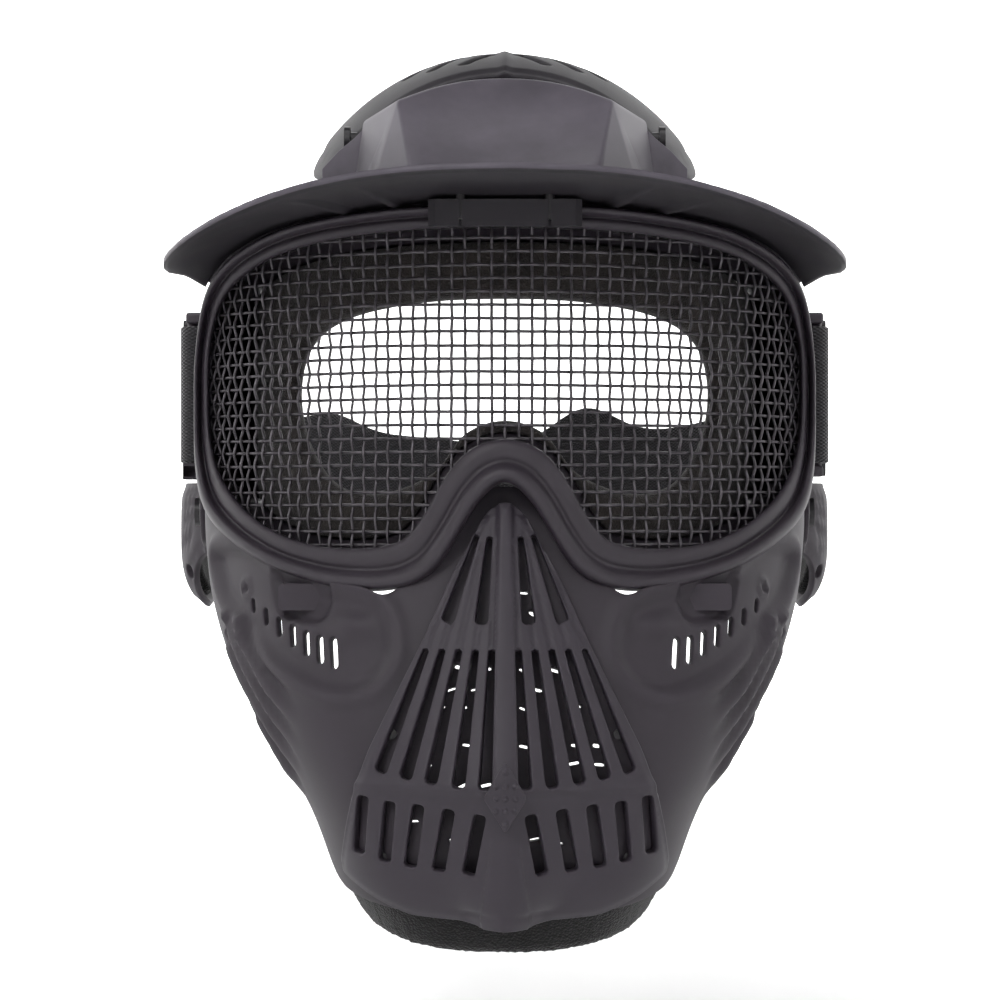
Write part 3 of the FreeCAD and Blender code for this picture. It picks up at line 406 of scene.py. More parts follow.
def coated_wire(name):
    """Black-coated steel wire: metal showing through a thin coat in random patches."""
    m = Maker(name)
    place = m.add("ShaderNodeTexCoord").outputs["Object"]
    worn = m.add("ShaderNodeTexNoise", Vector=place, Scale=400.0, Detail=3.0)
    tone = m.ramp(worn.outputs["Fac"], [(0.35, colour("#2f2c30")), (0.8, colour("#565257"))])
    m.put(m.shader, "Base Color", tone)
    m.put(m.shader, "Metallic", 0.55)
    m.put(m.shader, "Roughness", 0.42)
    chips = m.add("ShaderNodeBump", Strength=0.15, Distance=0.0001, Height=worn.outputs["Fac"])
    m.put(m.shader, "Normal", chips)
    return m.material


SHELL = moulded_plastic("Matt black moulded TPE shell", "#282329", "#342e36", rough=0.6)
GUARD = moulded_plastic("Matt black moulded polypropylene guard", "#2a252c", "#353037", rough=0.56)
FRAME = moulded_plastic("Soft-touch TPU goggle frame", "#262127", "#332e35", rough=0.5, wear=0.4)
VISOR = moulded_plastic("Satin grey-black polypropylene visor", "#3a363d", "#56515a", rough=0.5, mottling=0.7,
                        grain_mm=0.5)
CROWN_AND_PAINTED_SHADE = moulded_plastic("Matt black moulded crown guard", "#1c191e", "#29252b", rough=0.58)
BUCKLE = moulded_plastic("Black POM buckle", "#1a181a", "#262428", rough=0.33, grain_mm=0.8)
FOAM = foam_material("Black open-cell PU foam", "#060506", "#100f10", bump=0.7)
LINING = foam_material("Dark taupe face foam", "#1d1a1a", "#332e2c", pore_mm=0.6, bump=0.6)
WEBBING = webbing_material("Black elastic webbing", "#0e0d0f", "#2a282c")
WIRE = coated_wire("Black-coated woven steel wire")
print("materials", [m.name for m in bpy.data.materials])


def side_name(side):
    return "left" if side < 0 else "right"


def eased(bm, edges, radius, segments):
    """Rounds edges by a radius in millimetres."""
    bmesh.ops.bevel(bm, geom=edges, offset=radius * MM, segments=segments, profile=0.5, affect="EDGES",
                    material=-1)


def dress(obj, material, body="mask", hides=()):
    """Gives a piece its material, the body it rides on and what it stands for."""
    obj.data.materials.clear()
    obj.data.materials.append(material)
    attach(obj, body)
    if hides:
        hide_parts(*hides)
    print(obj.name, len(obj.data.polygons), "faces")
    return obj


# %% [markdown]
# ## The goggle
# The lens is a plain weave of steel wire bent to a cylinder of 100 mm radius. Each wire passes over one
# neighbour and under the next, so its line waves by half a wire on either side. The frame round it is one
# rubbery moulding with an inner lip, a hollow and a rolled bead.

# %% Goggle outlines
LENS_R, LENS_Y = 100.0, -20.0
OPENING = [(0, -12), (10, -15), (17.5, -23), (25, -36), (32, -42.5), (46, -44.5), (62, -42.5), (76, -36),
           (87, -25), (92, -12), (93, 5), (92, 20), (87, 33), (76, 41.5), (60, 46.5), (35, 49.5), (0, 50.5)]
RIM = [(0, -25), (8, -31), (18.5, -48), (26, -54.5), (36, -57), (48, -56.5), (60, -54), (73, -49.5),
       (87, -41), (95, -32), (98, -20), (98.5, -3), (98, 15), (94.5, 33), (87, 43), (75, 49.5), (60, 53.5),
       (30, 56.5), (0, 57)]
opening = rounded(both_halves(OPENING), 420)
rim = rounded(both_halves(RIM), 1600)


def on_lens(points, radius=LENS_R):
    """Front-view points put on the upright cylinder of that radius."""
    x = np.clip(points[:, 0], -radius * 0.999, radius * 0.999)
    return np.stack([x, LENS_Y - np.sqrt(radius ** 2 - x ** 2), points[:, 1]], axis=1)


def partner(loop, outer, smoothing=10):
    """For each point of the loop, its place on the outer line, without crowding."""
    near = np.array([np.argmin(((outer - p) ** 2).sum(axis=1)) for p in loop], float)
    count = len(outer)
    turns = np.unwrap(near / count * 2 * math.pi)
    for _ in range(smoothing):
        drift = np.concatenate([[turns[-1] - 2 * math.pi * np.sign(turns[-1] - turns[0])], turns,
                                [turns[0] + 2 * math.pi * np.sign(turns[-1] - turns[0])]])
        turns = (drift[:-2] + 2 * drift[1:-1] + drift[2:]) / 4
    at = (turns / (2 * math.pi) * count) % count
    wrapped = np.vstack([outer, outer[:1]])
    return np.stack([np.interp(at, np.arange(count + 1), wrapped[:, k]) for k in (0, 1)], axis=1)


# %% Woven wire lens
PITCH, WIRE_R = 3.95, 0.45


def wire_tube(bm, line, radius, sides=6):
    """A capped tube along the line, with its section square to the lens's cylinder."""
    line = np.array(line)
    along = np.gradient(line, axis=0)
    along /= np.linalg.norm(along, axis=1)[:, None]
    out = line - np.array([0, LENS_Y, 0])
    out[:, 2] = 0
    out /= np.linalg.norm(out, axis=1)[:, None]
    side = np.cross(along, out)
    side /= np.linalg.norm(side, axis=1)[:, None]
    up = np.cross(side, along)
    rows = []
    for p, s, u in zip(line, side, up):
        rows.append([bm.verts.new((p + radius * (s * math.cos(a) + u * math.sin(a))) * MM)
                     for a in np.linspace(0, 2 * math.pi, sides, endpoint=False)])
    for a, b in zip(rows, rows[1:]):
        for k in range(sides):
            j = (k + 1) % sides
            bm.faces.new((a[k], b[k], b[j], a[j]))
    bm.faces.new(rows[0])
    bm.faces.new(rows[-1][::-1])


def stretches(values, inside_now):
    """Start and end of each run of True."""
    runs, start = [], None
    for value, now in zip(values, inside_now):
        if now and start is None:
            start = value
        if not now and start is not None:
            runs.append((start, value))
            start = None
    if start is not None:
        runs.append((start, values[-1]))
    return runs


def woven_lens():
    """Upright wires, then level ones, each a little astray as in real cloth."""
    bm = bmesh.new()
    edge = grown(opening, 2.0)
    step = PITCH / LENS_R
    widest = math.asin(0.935)
    columns = int(widest / step)
    rows = range(-12, 15)
    sway = np.random.default_rng(4)
    for k in range(-columns, columns + 1):
        a = k * step
        z = np.arange(-48, 54, PITCH / 6)
        flat = np.stack([np.full_like(z, LENS_R * math.sin(a)), z], axis=1)
        for low, high in stretches(z, inside(flat, edge)):
            h = np.arange(low, high, PITCH / 6)
            if len(h) < 8:
                continue
            wave = np.cos(math.pi * h / PITCH) * (1 if k % 2 else -1)
            aa = a + (0.10 * np.sin(h / 17.0 + sway.uniform(0, 6)) + sway.normal(0, 0.05)) / LENS_R
            r = LENS_R + WIRE_R * wave
            wire_tube(bm, np.stack([r * np.sin(aa), LENS_Y - r * np.cos(aa), h], axis=1), WIRE_R)
    for k in rows:
        z = k * PITCH
        a = np.arange(-widest, widest, step / 6)
        flat = np.stack([LENS_R * np.sin(a), np.full_like(a, z)], axis=1)
        for low, high in stretches(a, inside(flat, edge)):
            s = np.arange(low, high, step / 6)
            if len(s) < 8:
                continue
            wave = -np.cos(math.pi * s / step) * (1 if k % 2 else -1)
            zz = z + 0.10 * np.sin(s * 7 + sway.uniform(0, 6)) + sway.normal(0, 0.05)
            r = LENS_R + WIRE_R * wave
            wire_tube(bm, np.stack([r * np.sin(s), LENS_Y - r * np.cos(s), zz], axis=1), WIRE_R)
    return finished("woven_wire_lens", bm)


dress(woven_lens(), WIRE, hides=["lens_mesh"])


# %% Goggle frame
def frame_profile():
    """(share of the way from opening to rim, radius) from the lip over the hollow and the bead."""
    return [(0.0, 101.6), (0.015, 102.7), (0.06, 103.4), (0.16, 103.9), (0.28, 104.1), (0.38, 104.0),
            (0.45, 103.4), (0.50, 103.0), (0.55, 103.6), (0.60, 104.8), (0.68, 106.0), (0.78, 106.6),
            (0.87, 106.4), (0.94, 105.4), (0.985, 103.8), (1.0, 102.0)]


def goggle_frame():
    """The frame's front rows, then its wall back to the shell and the seat of the lens."""
    mate = partner(opening, rim)
    rows = []
    for share, radius in frame_profile():
        flat = opening * (1 - share) + mate * share
        rows.append(on_lens(flat, radius))
    side = smooth_step(np.abs(mate[:, 0]), 88, 98)
    for sink in (0.3, 0.65, 1.0):
        front = rows[len(frame_profile()) - 1]
        rear = on_lens(mate, 92.0)
        rear[:, 1] = rear[:, 1] * (1 - side) + np.maximum(rear[:, 1], -30.0) * side
        rows.append(front * (1 - sink) + rear * sink)
    inner = on_lens(opening * 0.9 + mate * 0.1, 92.0)
    inner[:, 1] = inner[:, 1] * (1 - side) + np.maximum(inner[:, 1], -31.0) * side
    rows.append(inner)
    return ring_of_rows("goggle_frame_moulding", rows)


dress(goggle_frame(), FRAME, hides=["goggle_frame"])

# %% [markdown]
# ## The lower shell
# The shell is a boxy U in plan at every height, narrowing to the chin. Its outline is the underside of the
# goggle above, the rear edges at the sides and a shallow curve under the chin.

# %% Shell surface
LEVELS = [(-24, 96.5, -112, 14), (-42, 96.2, -118, 12), (-62, 93.5, -125, 4), (-84, 86, -132, -18),
          (-104, 74, -137, -46), (-124, 61.5, -139, -74), (-142, 54, -135, -90), (-154, 49.5, -127, -94)]
TURN_Y = -32.0
SPREAD = 90.0
SHELL_T, TUCK = 2.4, 1.4


def level(z):
    """Half width, front y, rear y and boxiness of the shell at each height."""
    table = np.array(LEVELS[::-1], float)
    fine = rounded(table, 200, closed=False)
    fine = fine[np.argsort(fine[:, 0])]
    z = np.asarray(z, float)
    power = 0.88 - 0.33 * np.clip((-50 - z) / 90, 0, 1)
    return [np.interp(z, fine[:, 0], fine[:, k]) for k in (1, 2, 3)] + [power]


def shell_surface(points):
    """(sweep, z) to places. The sweep is an angle round the front times SPREAD, then a length on the side."""
    sweep, z = points[:, 0], points[:, 1]
    half, front, _, power = level(z)
    depth = TURN_Y - front
    angle = np.clip(np.abs(sweep) / SPREAD, 0, math.pi / 2)
    s, c = np.sin(angle) / half, np.cos(angle) / depth
    reach = (np.maximum(s, 1e-9) ** (2 / power) + np.maximum(c, 1e-9) ** (2 / power)) ** (-power / 2)
    x, y = reach * np.sin(angle), TURN_Y - reach * np.cos(angle)
    extra = np.maximum(np.abs(sweep) - SPREAD * math.pi / 2, 0)
    return np.stack([np.sign(sweep) * x, y + extra, z], axis=1)


def to_sweep(points):
    """Front-view (x, z) to (sweep, z)."""
    points = np.asarray(points, float)
    half, front, _, power = level(points[:, 1])
    share = np.clip(np.abs(points[:, 0]) / half, 0, 0.9999)
    d = (TURN_Y - front) * (1 - share ** (2 / power)) ** (power / 2)
    sweep = np.sign(points[:, 0]) * SPREAD * np.arctan2(np.abs(points[:, 0]), d)
    return np.stack([sweep, points[:, 1]], axis=1)


def shell_y(points):
    """How far forward the shell stands at front-view points."""
    return shell_surface(to_sweep(points))[:, 1]


def rear_sweep(z):
    """The sweep of the shell's rear edge at each height."""
    half, front, rear, power = level(z)
    past = np.maximum(rear - TURN_Y, 0)
    d = np.clip(TURN_Y - rear, 0, None)
    x = half * np.maximum(1 - (d / (TURN_Y - front)) ** (2 / power), 0) ** (power / 2)
    return SPREAD * np.where(rear > TURN_Y, math.pi / 2, np.arctan2(x, d)) + past


# %% Shell outline, vents and ribs
def shell_outline():
    """Chin curve, right rear edge, the line tucked under the goggle's rim, left rear edge."""
    chin = np.array([(x, -151.8 + 6.0 * (abs(x) / 50) ** 3.0) for x in np.linspace(-48, 48, 61)])
    low = to_sweep(chin)
    z = np.linspace(-145.5, -24, 70)[1:]
    right = np.stack([rear_sweep(z), z], axis=1)
    tucked = grown(rim, -TUCK)
    out = tucked - rim
    gap = 1.8 * np.exp(-((np.abs(rim[:, 0]) - 36) / 4.0) ** 2)
    loop = tucked - out * gap[:, None]
    take = (loop[:, 1] < -26) & (np.abs(loop[:, 0]) < 95.5)
    arc = loop[take]
    start = np.argmax(np.linalg.norm(np.diff(np.vstack([arc, arc[:1]]), axis=0), axis=1))
    arc = np.roll(arc, -(start + 1), axis=0)
    if arc[0, 0] < arc[-1, 0]:
        arc = arc[::-1]
    top = to_sweep(arc[::4])
    left = np.stack([-rear_sweep(z[::-1]), z[::-1]], axis=1)
    return evenly(np.vstack([low, right, top, left]), 900)


def cheek_vents():
    """Seven upright vents a side, shorter and higher towards the ear."""
    holes = []
    for side in (-1, 1):
        for k in range(7):
            s = k / 6
            x, z = 51.8 + 27.1 * s, -74.7 + 12.6 * s ** 1.5
            h = (11.2 - 4.8 * s) - 1.9
            line = np.array([(side * x, z - h / 2), (side * (x + 0.4), z + h / 2)])
            a, b = to_sweep(line)
            holes.append(slot_hole(a, b, 2.3, corner=0.5, count=28))
    return holes


def shell_slits():
    """Short breathing slits behind the mouth guard, broken up so that little light passes."""
    rng = np.random.default_rng(5)
    holes = []
    for k, z in enumerate(np.arange(-46.0, -138.0, -5.5)):
        upper = z > -111
        half = 8.5 + 35.5 * (-30 - z) / 81 if upper else 44 + 8 * (-111 - z) / 42
        for side in (-1, 1):
            x = 4.0 + 3.0 * (k % 2)
            while x < half - 14:
                width = rng.uniform(2.2, 4.2)
                if rng.random() < (0.62 if upper else 0.35):
                    ends = [(side * x, z), (side * (x + width), z - rng.uniform(-0.8, 1.6))]
                    a, b = to_sweep(np.array(ends))
                    holes.append(slot_hole(a, b, rng.uniform(0.7, 1.3), corner=0.5, count=14))
                x += width + rng.uniform(2.6, 5.0)
    return holes


def on_both(line):
    """A front-view line on the right cheek and its mirror image on the left one."""
    line = rounded(line, 60, closed=False)
    return [to_sweep(line), to_sweep(line * [-1, 1])]


CHEEK_PAD = [(91, -46), (88.5, -58), (83, -66.5), (74, -75.5), (62, -83), (52, -86.5), (43, -86), (36, -81),
             (33, -73), (36, -62), (46, -57), (66, -52), (82, -44)]
SWEEPS = [[(80.8, -68.1), (76.3, -76), (69.5, -84.6), (60.4, -94)],
          [(84.2, -67.5), (77.5, -80), (69.5, -92.5), (60, -103.2)],
          [(84.8, -72), (79, -83.4), (71, -95.9), (65, -105), (59.2, -113)],
          [(76, -94), (70, -103.5), (65.6, -110.5), (59.5, -119)]]
TAB_POCKET = [(53.6, -52), (53.8, -61.5), (57, -65.2), (66, -65.6), (70.2, -62.5), (70.6, -50)]


def along_line(points, line):
    """How far along the line each point's nearest place is, and the side it lies on (below is positive)."""
    near = np.argmin(((points[:, None] - line[None]) ** 2).sum(axis=2), axis=1)
    ahead = line[np.minimum(near + 1, len(line) - 1)] - line[np.maximum(near - 1, 0)]
    off = points - line[near]
    turn = ahead[:, 0] * off[:, 1] - ahead[:, 1] * off[:, 0]
    return near / (len(line) - 1), np.linalg.norm(off, axis=1) * np.sign(turn)


def shell_lift(points):
    """Stepped ribs that sweep down the cheeks, the sunk pad round the vents and the pocket for the tab."""
    out = np.zeros(len(points))
    for line in SWEEPS:
        for side, half in zip((1, -1), on_both(line)):
            share, off = along_line(points, half)
            near_start = smooth_step(12 - np.abs(off), 0, 12)
            strength = np.where(share > 0.02, 1 - smooth_step(share, 0.55, 1.0), near_start)
            strength = strength * smooth_step(share + 0.12, 0.0, 0.2)
            off = off * side
            ridge = 2.2 * np.exp(-((off - 3.2) / 2.8) ** 2)
            groove = 2.0 * np.exp(-((off + 0.6) / 1.6) ** 2)
            out += strength * (ridge - groove)
    pad = rounded(CHEEK_PAD, 120)
    for side in (1, -1):
        loop = to_sweep(pad * [side, 1])
        d = distance_to(points, loop, True) * np.where(inside(points, loop), 1, -1)
        out += -2.6 * smooth_step(d, -0.8, 4.0) + 1.3 * np.exp(-((d + 2.0) / 2.0) ** 2)
        pocket = to_sweep(rounded(TAB_POCKET, 80) * [side, 1])
        d = distance_to(points, pocket, True) * np.where(inside(points, pocket), 1, -1)
        out += -2.6 * smooth_step(d, -0.6, 0.9)
        boss = to_sweep(np.array([(side * 81.5, -56.5), (side * 81.5, -56.5)]))[0]
        d = np.linalg.norm(points - boss, axis=1)
        out += 0.9 * np.exp(-((d - 2.2) / 0.8) ** 2) - 1.4 * np.exp(-(d / 1.3) ** 2)
        swell = to_sweep(np.array([(side * 45.0, -66.5), (side * 45.0, -66.5)]))[0]
        d = np.linalg.norm((points - swell) / [1.1, 0.6], axis=1)
        out += 2.6 * np.exp(-(d / 6.5) ** 2)
    nose = np.exp(-(points[:, 0] / 10) ** 2) * smooth_step(points[:, 1], -60, -30)
    out += 1.5 * nose
    return out


def face_shell():
    return moulded("lower_shell", shell_outline(), cheek_vents() + shell_slits(), shell_surface, SHELL_T,
                   edge=0.5, grid=1.5, lift=shell_lift)


dress(face_shell(), SHELL, hides=["face_shell"])

# %% [markdown]
# ## The mouth guard
# A separate stiff moulding that lies over the shell: a ridge down the middle, slots that fan out from the
# nose, a crease, and a shorter row of slots over the chin. Fine grooves carry each slot's line to the nose.


# %% Mouth guard surface
NOSE_TOP, CREASE, CHIN_LOW = -30, -111, -153
GUARD_T, STAND_OFF = 2.6, 4.2


def guard_size(z):
    """Half width and ridge y: the guard widens from the nose to the crease, then less to the chin."""
    z = np.asarray(z, float)
    s = np.clip((NOSE_TOP - z) / (NOSE_TOP - CREASE), 0, 1)
    t = np.clip((CREASE - z) / (CREASE - CHIN_LOW), 0, 1.2)
    return 8.5 + 35.5 * s + 8 * t, -119 - 35 * s + 8 * t


def guard_surface(points):
    """A wedge from the ridge out to the edges that never dips nearer the shell than its stand-off."""
    half, ridge = guard_size(points[:, 1])
    x = points[:, 0]
    limit = shell_y(np.stack([np.clip(x, -half * 1.02, half * 1.02), points[:, 1]], axis=1)) - STAND_OFF
    edge = shell_y(np.stack([half, points[:, 1]], axis=1)) - STAND_OFF
    wedge = ridge + (edge - ridge) * np.minimum(np.sqrt(x * x + 2.0) / half, 1) ** 1.35
    gap = wedge - limit
    soft = limit + gap / 2 - 0.75 - gap * gap / 12
    y = np.where(gap < -3, wedge, np.where(gap > 3, limit, soft))
    return np.stack([x, y, points[:, 1]], axis=1)


GUARD_HALF = [(0, -31), (3.2, -31.4), (6.2, -34), (9.5, -40), (16, -52), (24, -70), (33, -88), (40, -102),
              (44.5, -114), (47.2, -126), (49.2, -137), (48.8, -141), (39, -147.0), (28, -151.6), (15, -152.8),
              (9, -153.2), (8.0, -153.8), (0, -154)]


def guard_outline():
    """The half outline and its mirror image, with the corners eased."""
    right = np.array(GUARD_HALF, float)
    fine = []
    for k in range(len(right) - 1):
        fine += [right[k] * (1 - t) + right[k + 1] * t for t in np.linspace(0, 1, 14, endpoint=False)]
    fine = np.array(fine + [right[-1]])
    for _ in range(8):
        fine[1:-1] = (fine[:-2] + 2 * fine[1:-1] + fine[2:]) / 4
    loop = np.vstack([fine, (fine * [-1, 1])[-2:0:-1]])
    return evenly(loop, 560)


UPPER = [((4.6, -40.5), (7.0, -66.0)), ((8.4, -40.0), (17.0, -65.5))]
LONG = [((3.8, -73.0), (5.8, -112.6)), ((8.6, -73.0), (13.6, -112.3)), ((13.4, -73.0), (21.6, -111.4)),
        ((18.2, -73.0), (29.0, -110.3)), ((23.0, -73.0), (36.4, -108.8))]
CHIN = [((7.2, -119.8), (10.8, -137.8)), ((16.2, -118.6), (19.4, -137.2)), ((25.0, -117.6), (27.6, -136.2)),
        ((33.4, -117.0), (35.2, -135.0)), ((41.4, -115.8), (43.0, -133.2))]


def guard_holes():
    """Two short slots, five long ones and five over the chin, on each side of the ridge."""
    holes = []
    for side in (-1, 1):
        def at(p):
            return (side * p[0], p[1])
        for top, low in UPPER:
            holes.append(slot_hole(at(top), at(low), 1.7, 4.0, count=56, corner=0.3))
        for top, low in LONG:
            holes.append(slot_hole(at(top), at(low), 2.0, 3.9, count=64, corner=0.3))
        for top, low in CHIN:
            holes.append(slot_hole(at(top), at(low), 3.6, 3.8, count=44, corner=0.28))
    return holes


def guard_grooves():
    """Grooves from each long slot's top up to the nose."""
    lines = []
    for side in (-1, 1):
        for (tx, tz), end in zip([top for top, _ in LONG], (1.9, 3.1, 4.5, 5.8, 7.0)):
            lines.append(np.array([(side * tx, tz + 0.5), (side * end, -33.5)]))
    return lines


def guard_lift(points):
    """Grooves, the rib down the middle, the crease's lip and a step round the edge."""
    x, z = points[:, 0], points[:, 1]
    out = np.zeros(len(points))
    for line in guard_grooves():
        out -= 0.75 * np.exp(-(distance_to(points, line) / 0.42) ** 2)
    down = np.clip((NOSE_TOP - z) / (NOSE_TOP - CREASE), 0, 1)
    rib = 2.0 + 1.4 * down + 3.4 * np.clip((-124 - z) / 26, 0, 1)
    raised = 1.7 * smooth_step(rib + 0.5 - np.abs(x), 0, 0.9)
    out += raised * np.where(z > -123, smooth_step(z, -118, -104), 0.6 * smooth_step(-z, 124, 130))
    out += 0.8 * np.exp(-((z + 112.5) / 1.6) ** 2) * smooth_step(np.abs(x), 4, 8)
    frame_line = distance_to(points, OUTLINE, True)
    out -= 0.55 * smooth_step(2.2 - frame_line, 0, 1.4)
    return out


OUTLINE = guard_outline()
dress(moulded("mouth_guard_panel", OUTLINE, guard_holes(), guard_surface, GUARD_T, edge=0.45, grid=0.9,
              lift=guard_lift), GUARD, hides=["mouth_guard"])


# %% Grip diamond with its dots
def grip_diamond():
    corners = [(0, -104.0), (6.2, -114.6), (0, -124.5), (-6.2, -114.6)]
    loop = []
    for k in range(4):
        a, b = np.array(corners[k]), np.array(corners[(k + 1) % 4])
        loop += [a * (1 - t) + b * t for t in np.linspace(0.06, 0.94, 14)]
    loop = np.array(loop)
    dots = [(k * 2.6, z) for row, z in ((0, -107.2), (1, -111.2), (1, -114.6), (1, -118.0), (0, -121.6))
            for k in range(-row, row + 1)]

    def lift(points):
        out = 0.5 * np.ones(len(points))
        for dot in dots:
            d = np.linalg.norm(points - np.array(dot), axis=1)
            out += 0.8 * np.sqrt(np.maximum(1 - (d / 0.75) ** 2, 0))
        return out

    def face(points):
        places = guard_surface(points)
        places[:, 1] = places[:, 1] * 0.3 + 0.7 * (-153.8 + 0.22 * np.abs(points[:, 0])) - 2.3
        return places
    return moulded("grip_diamond", loop, [], face, 1.6, edge=0.4, grid=0.3, lift=lift)


dress(grip_diamond(), GUARD, hides=["chin_diamond"])

# %% [markdown]
# ## Sun visor and hood
# The brim is one curved sheet from the top of the goggle out to a rough front edge. The hood is a faceted
# housing in front of the crown guard, and two low bumps run out from it over the brim.


# %% Visor
LIP_HALF, LIP_FRONT, LIP_REAR = 105.0, -168.0, -74.0
ROOT_GAP, ROOT_TIP_Z, ROOT_R = 3.1, 39.5, 104.0


def lip_line(t):
    """The brim's front edge; t runs from -1 at one tip to 1 at the other."""
    x = LIP_HALF * np.sin(t * math.pi / 2)
    y = LIP_REAR + (LIP_FRONT - LIP_REAR) * np.maximum(np.cos(t * math.pi / 2), 0) ** 0.85
    return np.stack([x, y, 64.5 - 21.5 * np.abs(x / LIP_HALF) ** 2.6], axis=1)


def root_line(t):
    """The brim's root, which follows the goggle's top rim."""
    edge = grown(rim, ROOT_GAP)
    right = edge[(edge[:, 1] > ROOT_TIP_Z) & (edge[:, 0] >= 0)]
    right = right[np.argsort(np.arctan2(right[:, 0], right[:, 1]))]
    right = evenly(right, 241, closed=False)
    at = np.abs(t) * 240
    x = np.interp(at, np.arange(241), right[:, 0]) * np.sign(t)
    z = np.interp(at, np.arange(241), right[:, 1])
    y = LENS_Y - np.sqrt(np.maximum(ROOT_R ** 2 - x * x, 0)) + 6
    return np.stack([x, np.minimum(y, -56), z], axis=1)


def visor_brim():
    """Across from tip to tip, and from root to lip; the lip is a little ragged where the mould parted."""
    t = np.linspace(-1, 1, 181)
    root, lip = root_line(t), lip_line(t)
    rng = np.random.default_rng(7)
    ragged = np.convolve(rng.normal(0, 0.5, len(t) + 4), [0.25, 0.5, 0.25], "same")[2:-2]
    bump = np.exp(-((np.abs(t) - 0.215) / 0.055) ** 2)
    rows = []
    shares = [0, 0.03, 0.12, 0.25, 0.4, 0.55, 0.7, 0.82, 0.9, 0.95, 0.985, 1.0]
    for s in shares:
        line = root * (1 - s) + lip * s
        line[:, 2] += 1.2 * (1 - abs(2 * s - 1)) + 3.4 * bump * smooth_step(np.array(s), 0.95, 0.15)
        if s > 0.9:
            line[:, 1] -= ragged * (s - 0.9) * 6
            line[:, 2] += np.roll(ragged, 3) * (s - 0.9) * 2 - (s - 0.9) * 3
        rows.append(line)
    under = []
    for s in reversed(shares):
        line = root * (1 - s) + lip * s
        line[:, 2] += 1.2 * (1 - abs(2 * s - 1)) - (2.4 if s < 0.97 else 2.0)
        rib = np.exp(-((np.abs(t) - 0.30) / 0.012) ** 2) + np.exp(-((np.abs(t) - 0.44) / 0.010) ** 2)
        line[:, 2] -= 2.0 * rib * smooth_step(np.array(1 - s), 0.25, 0.6)
        if s > 0.9:
            line[:, 1] -= ragged * (s - 0.9) * 6
        under.append(line)
    return ring_of_rows("visor_brim", rows + under, closed_loop=False)


def painted_shade_below(obj):
    """Painted shade: faces that look down get the darker crown-guard black, so the brim's underside is painted
    darker than its top.
    """
    obj.data.materials.append(CROWN_AND_PAINTED_SHADE)
    for polygon in obj.data.polygons:
        polygon.material_index = 1 if polygon.normal.z < -0.2 else 0
    return obj


# The brim's underside is painted shade in the darker crown-guard black.
painted_shade_below(dress(visor_brim(), VISOR, hides=["visor"]))


def brim_apron():
    """The channel at the brim's root that hugs the goggle's top rim, with a rolled step in front."""
    t = np.linspace(-1, 1, 161)
    root = root_line(t)
    edge_in = np.stack([root[:, 0], root[:, 2]], axis=1)
    out = np.gradient(edge_in, axis=0)
    out = np.stack([-out[:, 1], out[:, 0]], axis=1)
    out /= np.linalg.norm(out, axis=1)[:, None]
    rows = []
    for off, push in ((2.4, 3.0), (2.4, -1.0), (1.6, -2.2), (0.2, -2.6), (-1.8, -2.2), (-3.3, -0.8),
                      (-3.8, 2.0), (-3.2, 8.0), (0.4, 8.5)):
        flat = edge_in + out * off
        y = root[:, 1] + push
        rows.append(np.stack([flat[:, 0], y, flat[:, 1]], axis=1))
    return ring_of_rows("brim_apron", rows, closed_loop=False)


dress(brim_apron(), SHELL)


# %% Hood
def brow_hood():
    """Facets with soft edges: a front that widens upwards, two slanted cheeks and a curved top."""
    top_arc = [(x, -98 + 20 * (1 - (x / 32.5) ** 2) ** 0.9, 91.0 + 9.6 * (1 - (abs(x) / 32.5) ** 2.1))
               for x in np.linspace(-32.5, 32.5, 15)]
    low_arc = [(x * 27 / 32.5, -124, 60.5) for x in np.linspace(-32.5, 32.5, 15)]
    bm = bmesh.new()

    def put(p):
        return bm.verts.new(Vector(p) * MM)
    top = [put(p) for p in top_arc]
    low = [put(p) for p in low_arc]
    for k in range(14):
        bm.faces.new((low[k], low[k + 1], top[k + 1], top[k]))
    for side, t, f in ((-1, top[0], low[0]), (1, top[-1], low[-1])):
        a, b = put((side * 41, -98, 62)), put((side * 44, -71, 88))
        c = put((side * 48, -71, 60))
        bm.faces.new((f, a, t))
        bm.faces.new((t, a, c))
        bm.faces.new((t, c, b))
        if side < 0:
            left = (b, c)
        else:
            right = (b, c)
    rear = [put((x, -71, 88 + 10.5 * (1 - (abs(x) / 44) ** 2.2))) for x in np.linspace(-44, 44, 15)[1:-1]]
    rear = [left[0]] + rear + [right[0]]
    for k in range(14):
        bm.faces.new((top[k], top[k + 1], rear[k + 1], rear[k]))
    bmesh.ops.recalc_face_normals(bm, faces=bm.faces)
    sharp = [e for e in bm.edges if len(e.link_faces) == 2 and e.calc_face_angle() > 0.22]
    eased(bm, sharp, 1.1, 3)
    bmesh.ops.recalc_face_normals(bm, faces=bm.faces)
    bmesh.ops.solidify(bm, geom=list(bm.faces), thickness=2.0 * MM)
    bmesh.ops.recalc_face_normals(bm, faces=bm.faces)
    return finished("brow_hood_housing", bm)


def hood_wing(side):
    """The flap that carries the hood's side out to the crown guard and closes the gap under it."""
    bm = bmesh.new()
    rows = []
    for x, y, top, low in ((43.5, -72.0, 86, 58), (47, -69.0, 83, 57), (52, -65.8, 79.5, 55),
                           (57.5, -63.4, 74, 53)):
        rows.append([bm.verts.new(Vector((side * x, y, z)) * MM) for z in np.linspace(top, low, 5)])
    for a, b in zip(rows, rows[1:]):
        for k in range(4):
            bm.faces.new((a[k], a[k + 1], b[k + 1], b[k]))
    bmesh.ops.recalc_face_normals(bm, faces=bm.faces)
    bmesh.ops.solidify(bm, geom=list(bm.faces), thickness=1.6 * MM)
    bmesh.ops.recalc_face_normals(bm, faces=bm.faces)
    rim_edges = [e for e in bm.edges if len(e.link_faces) == 2 and e.calc_face_angle() > 0.9]
    eased(bm, rim_edges, 0.35, 2)
    return finished("hood_wing_" + side_name(side), bm)


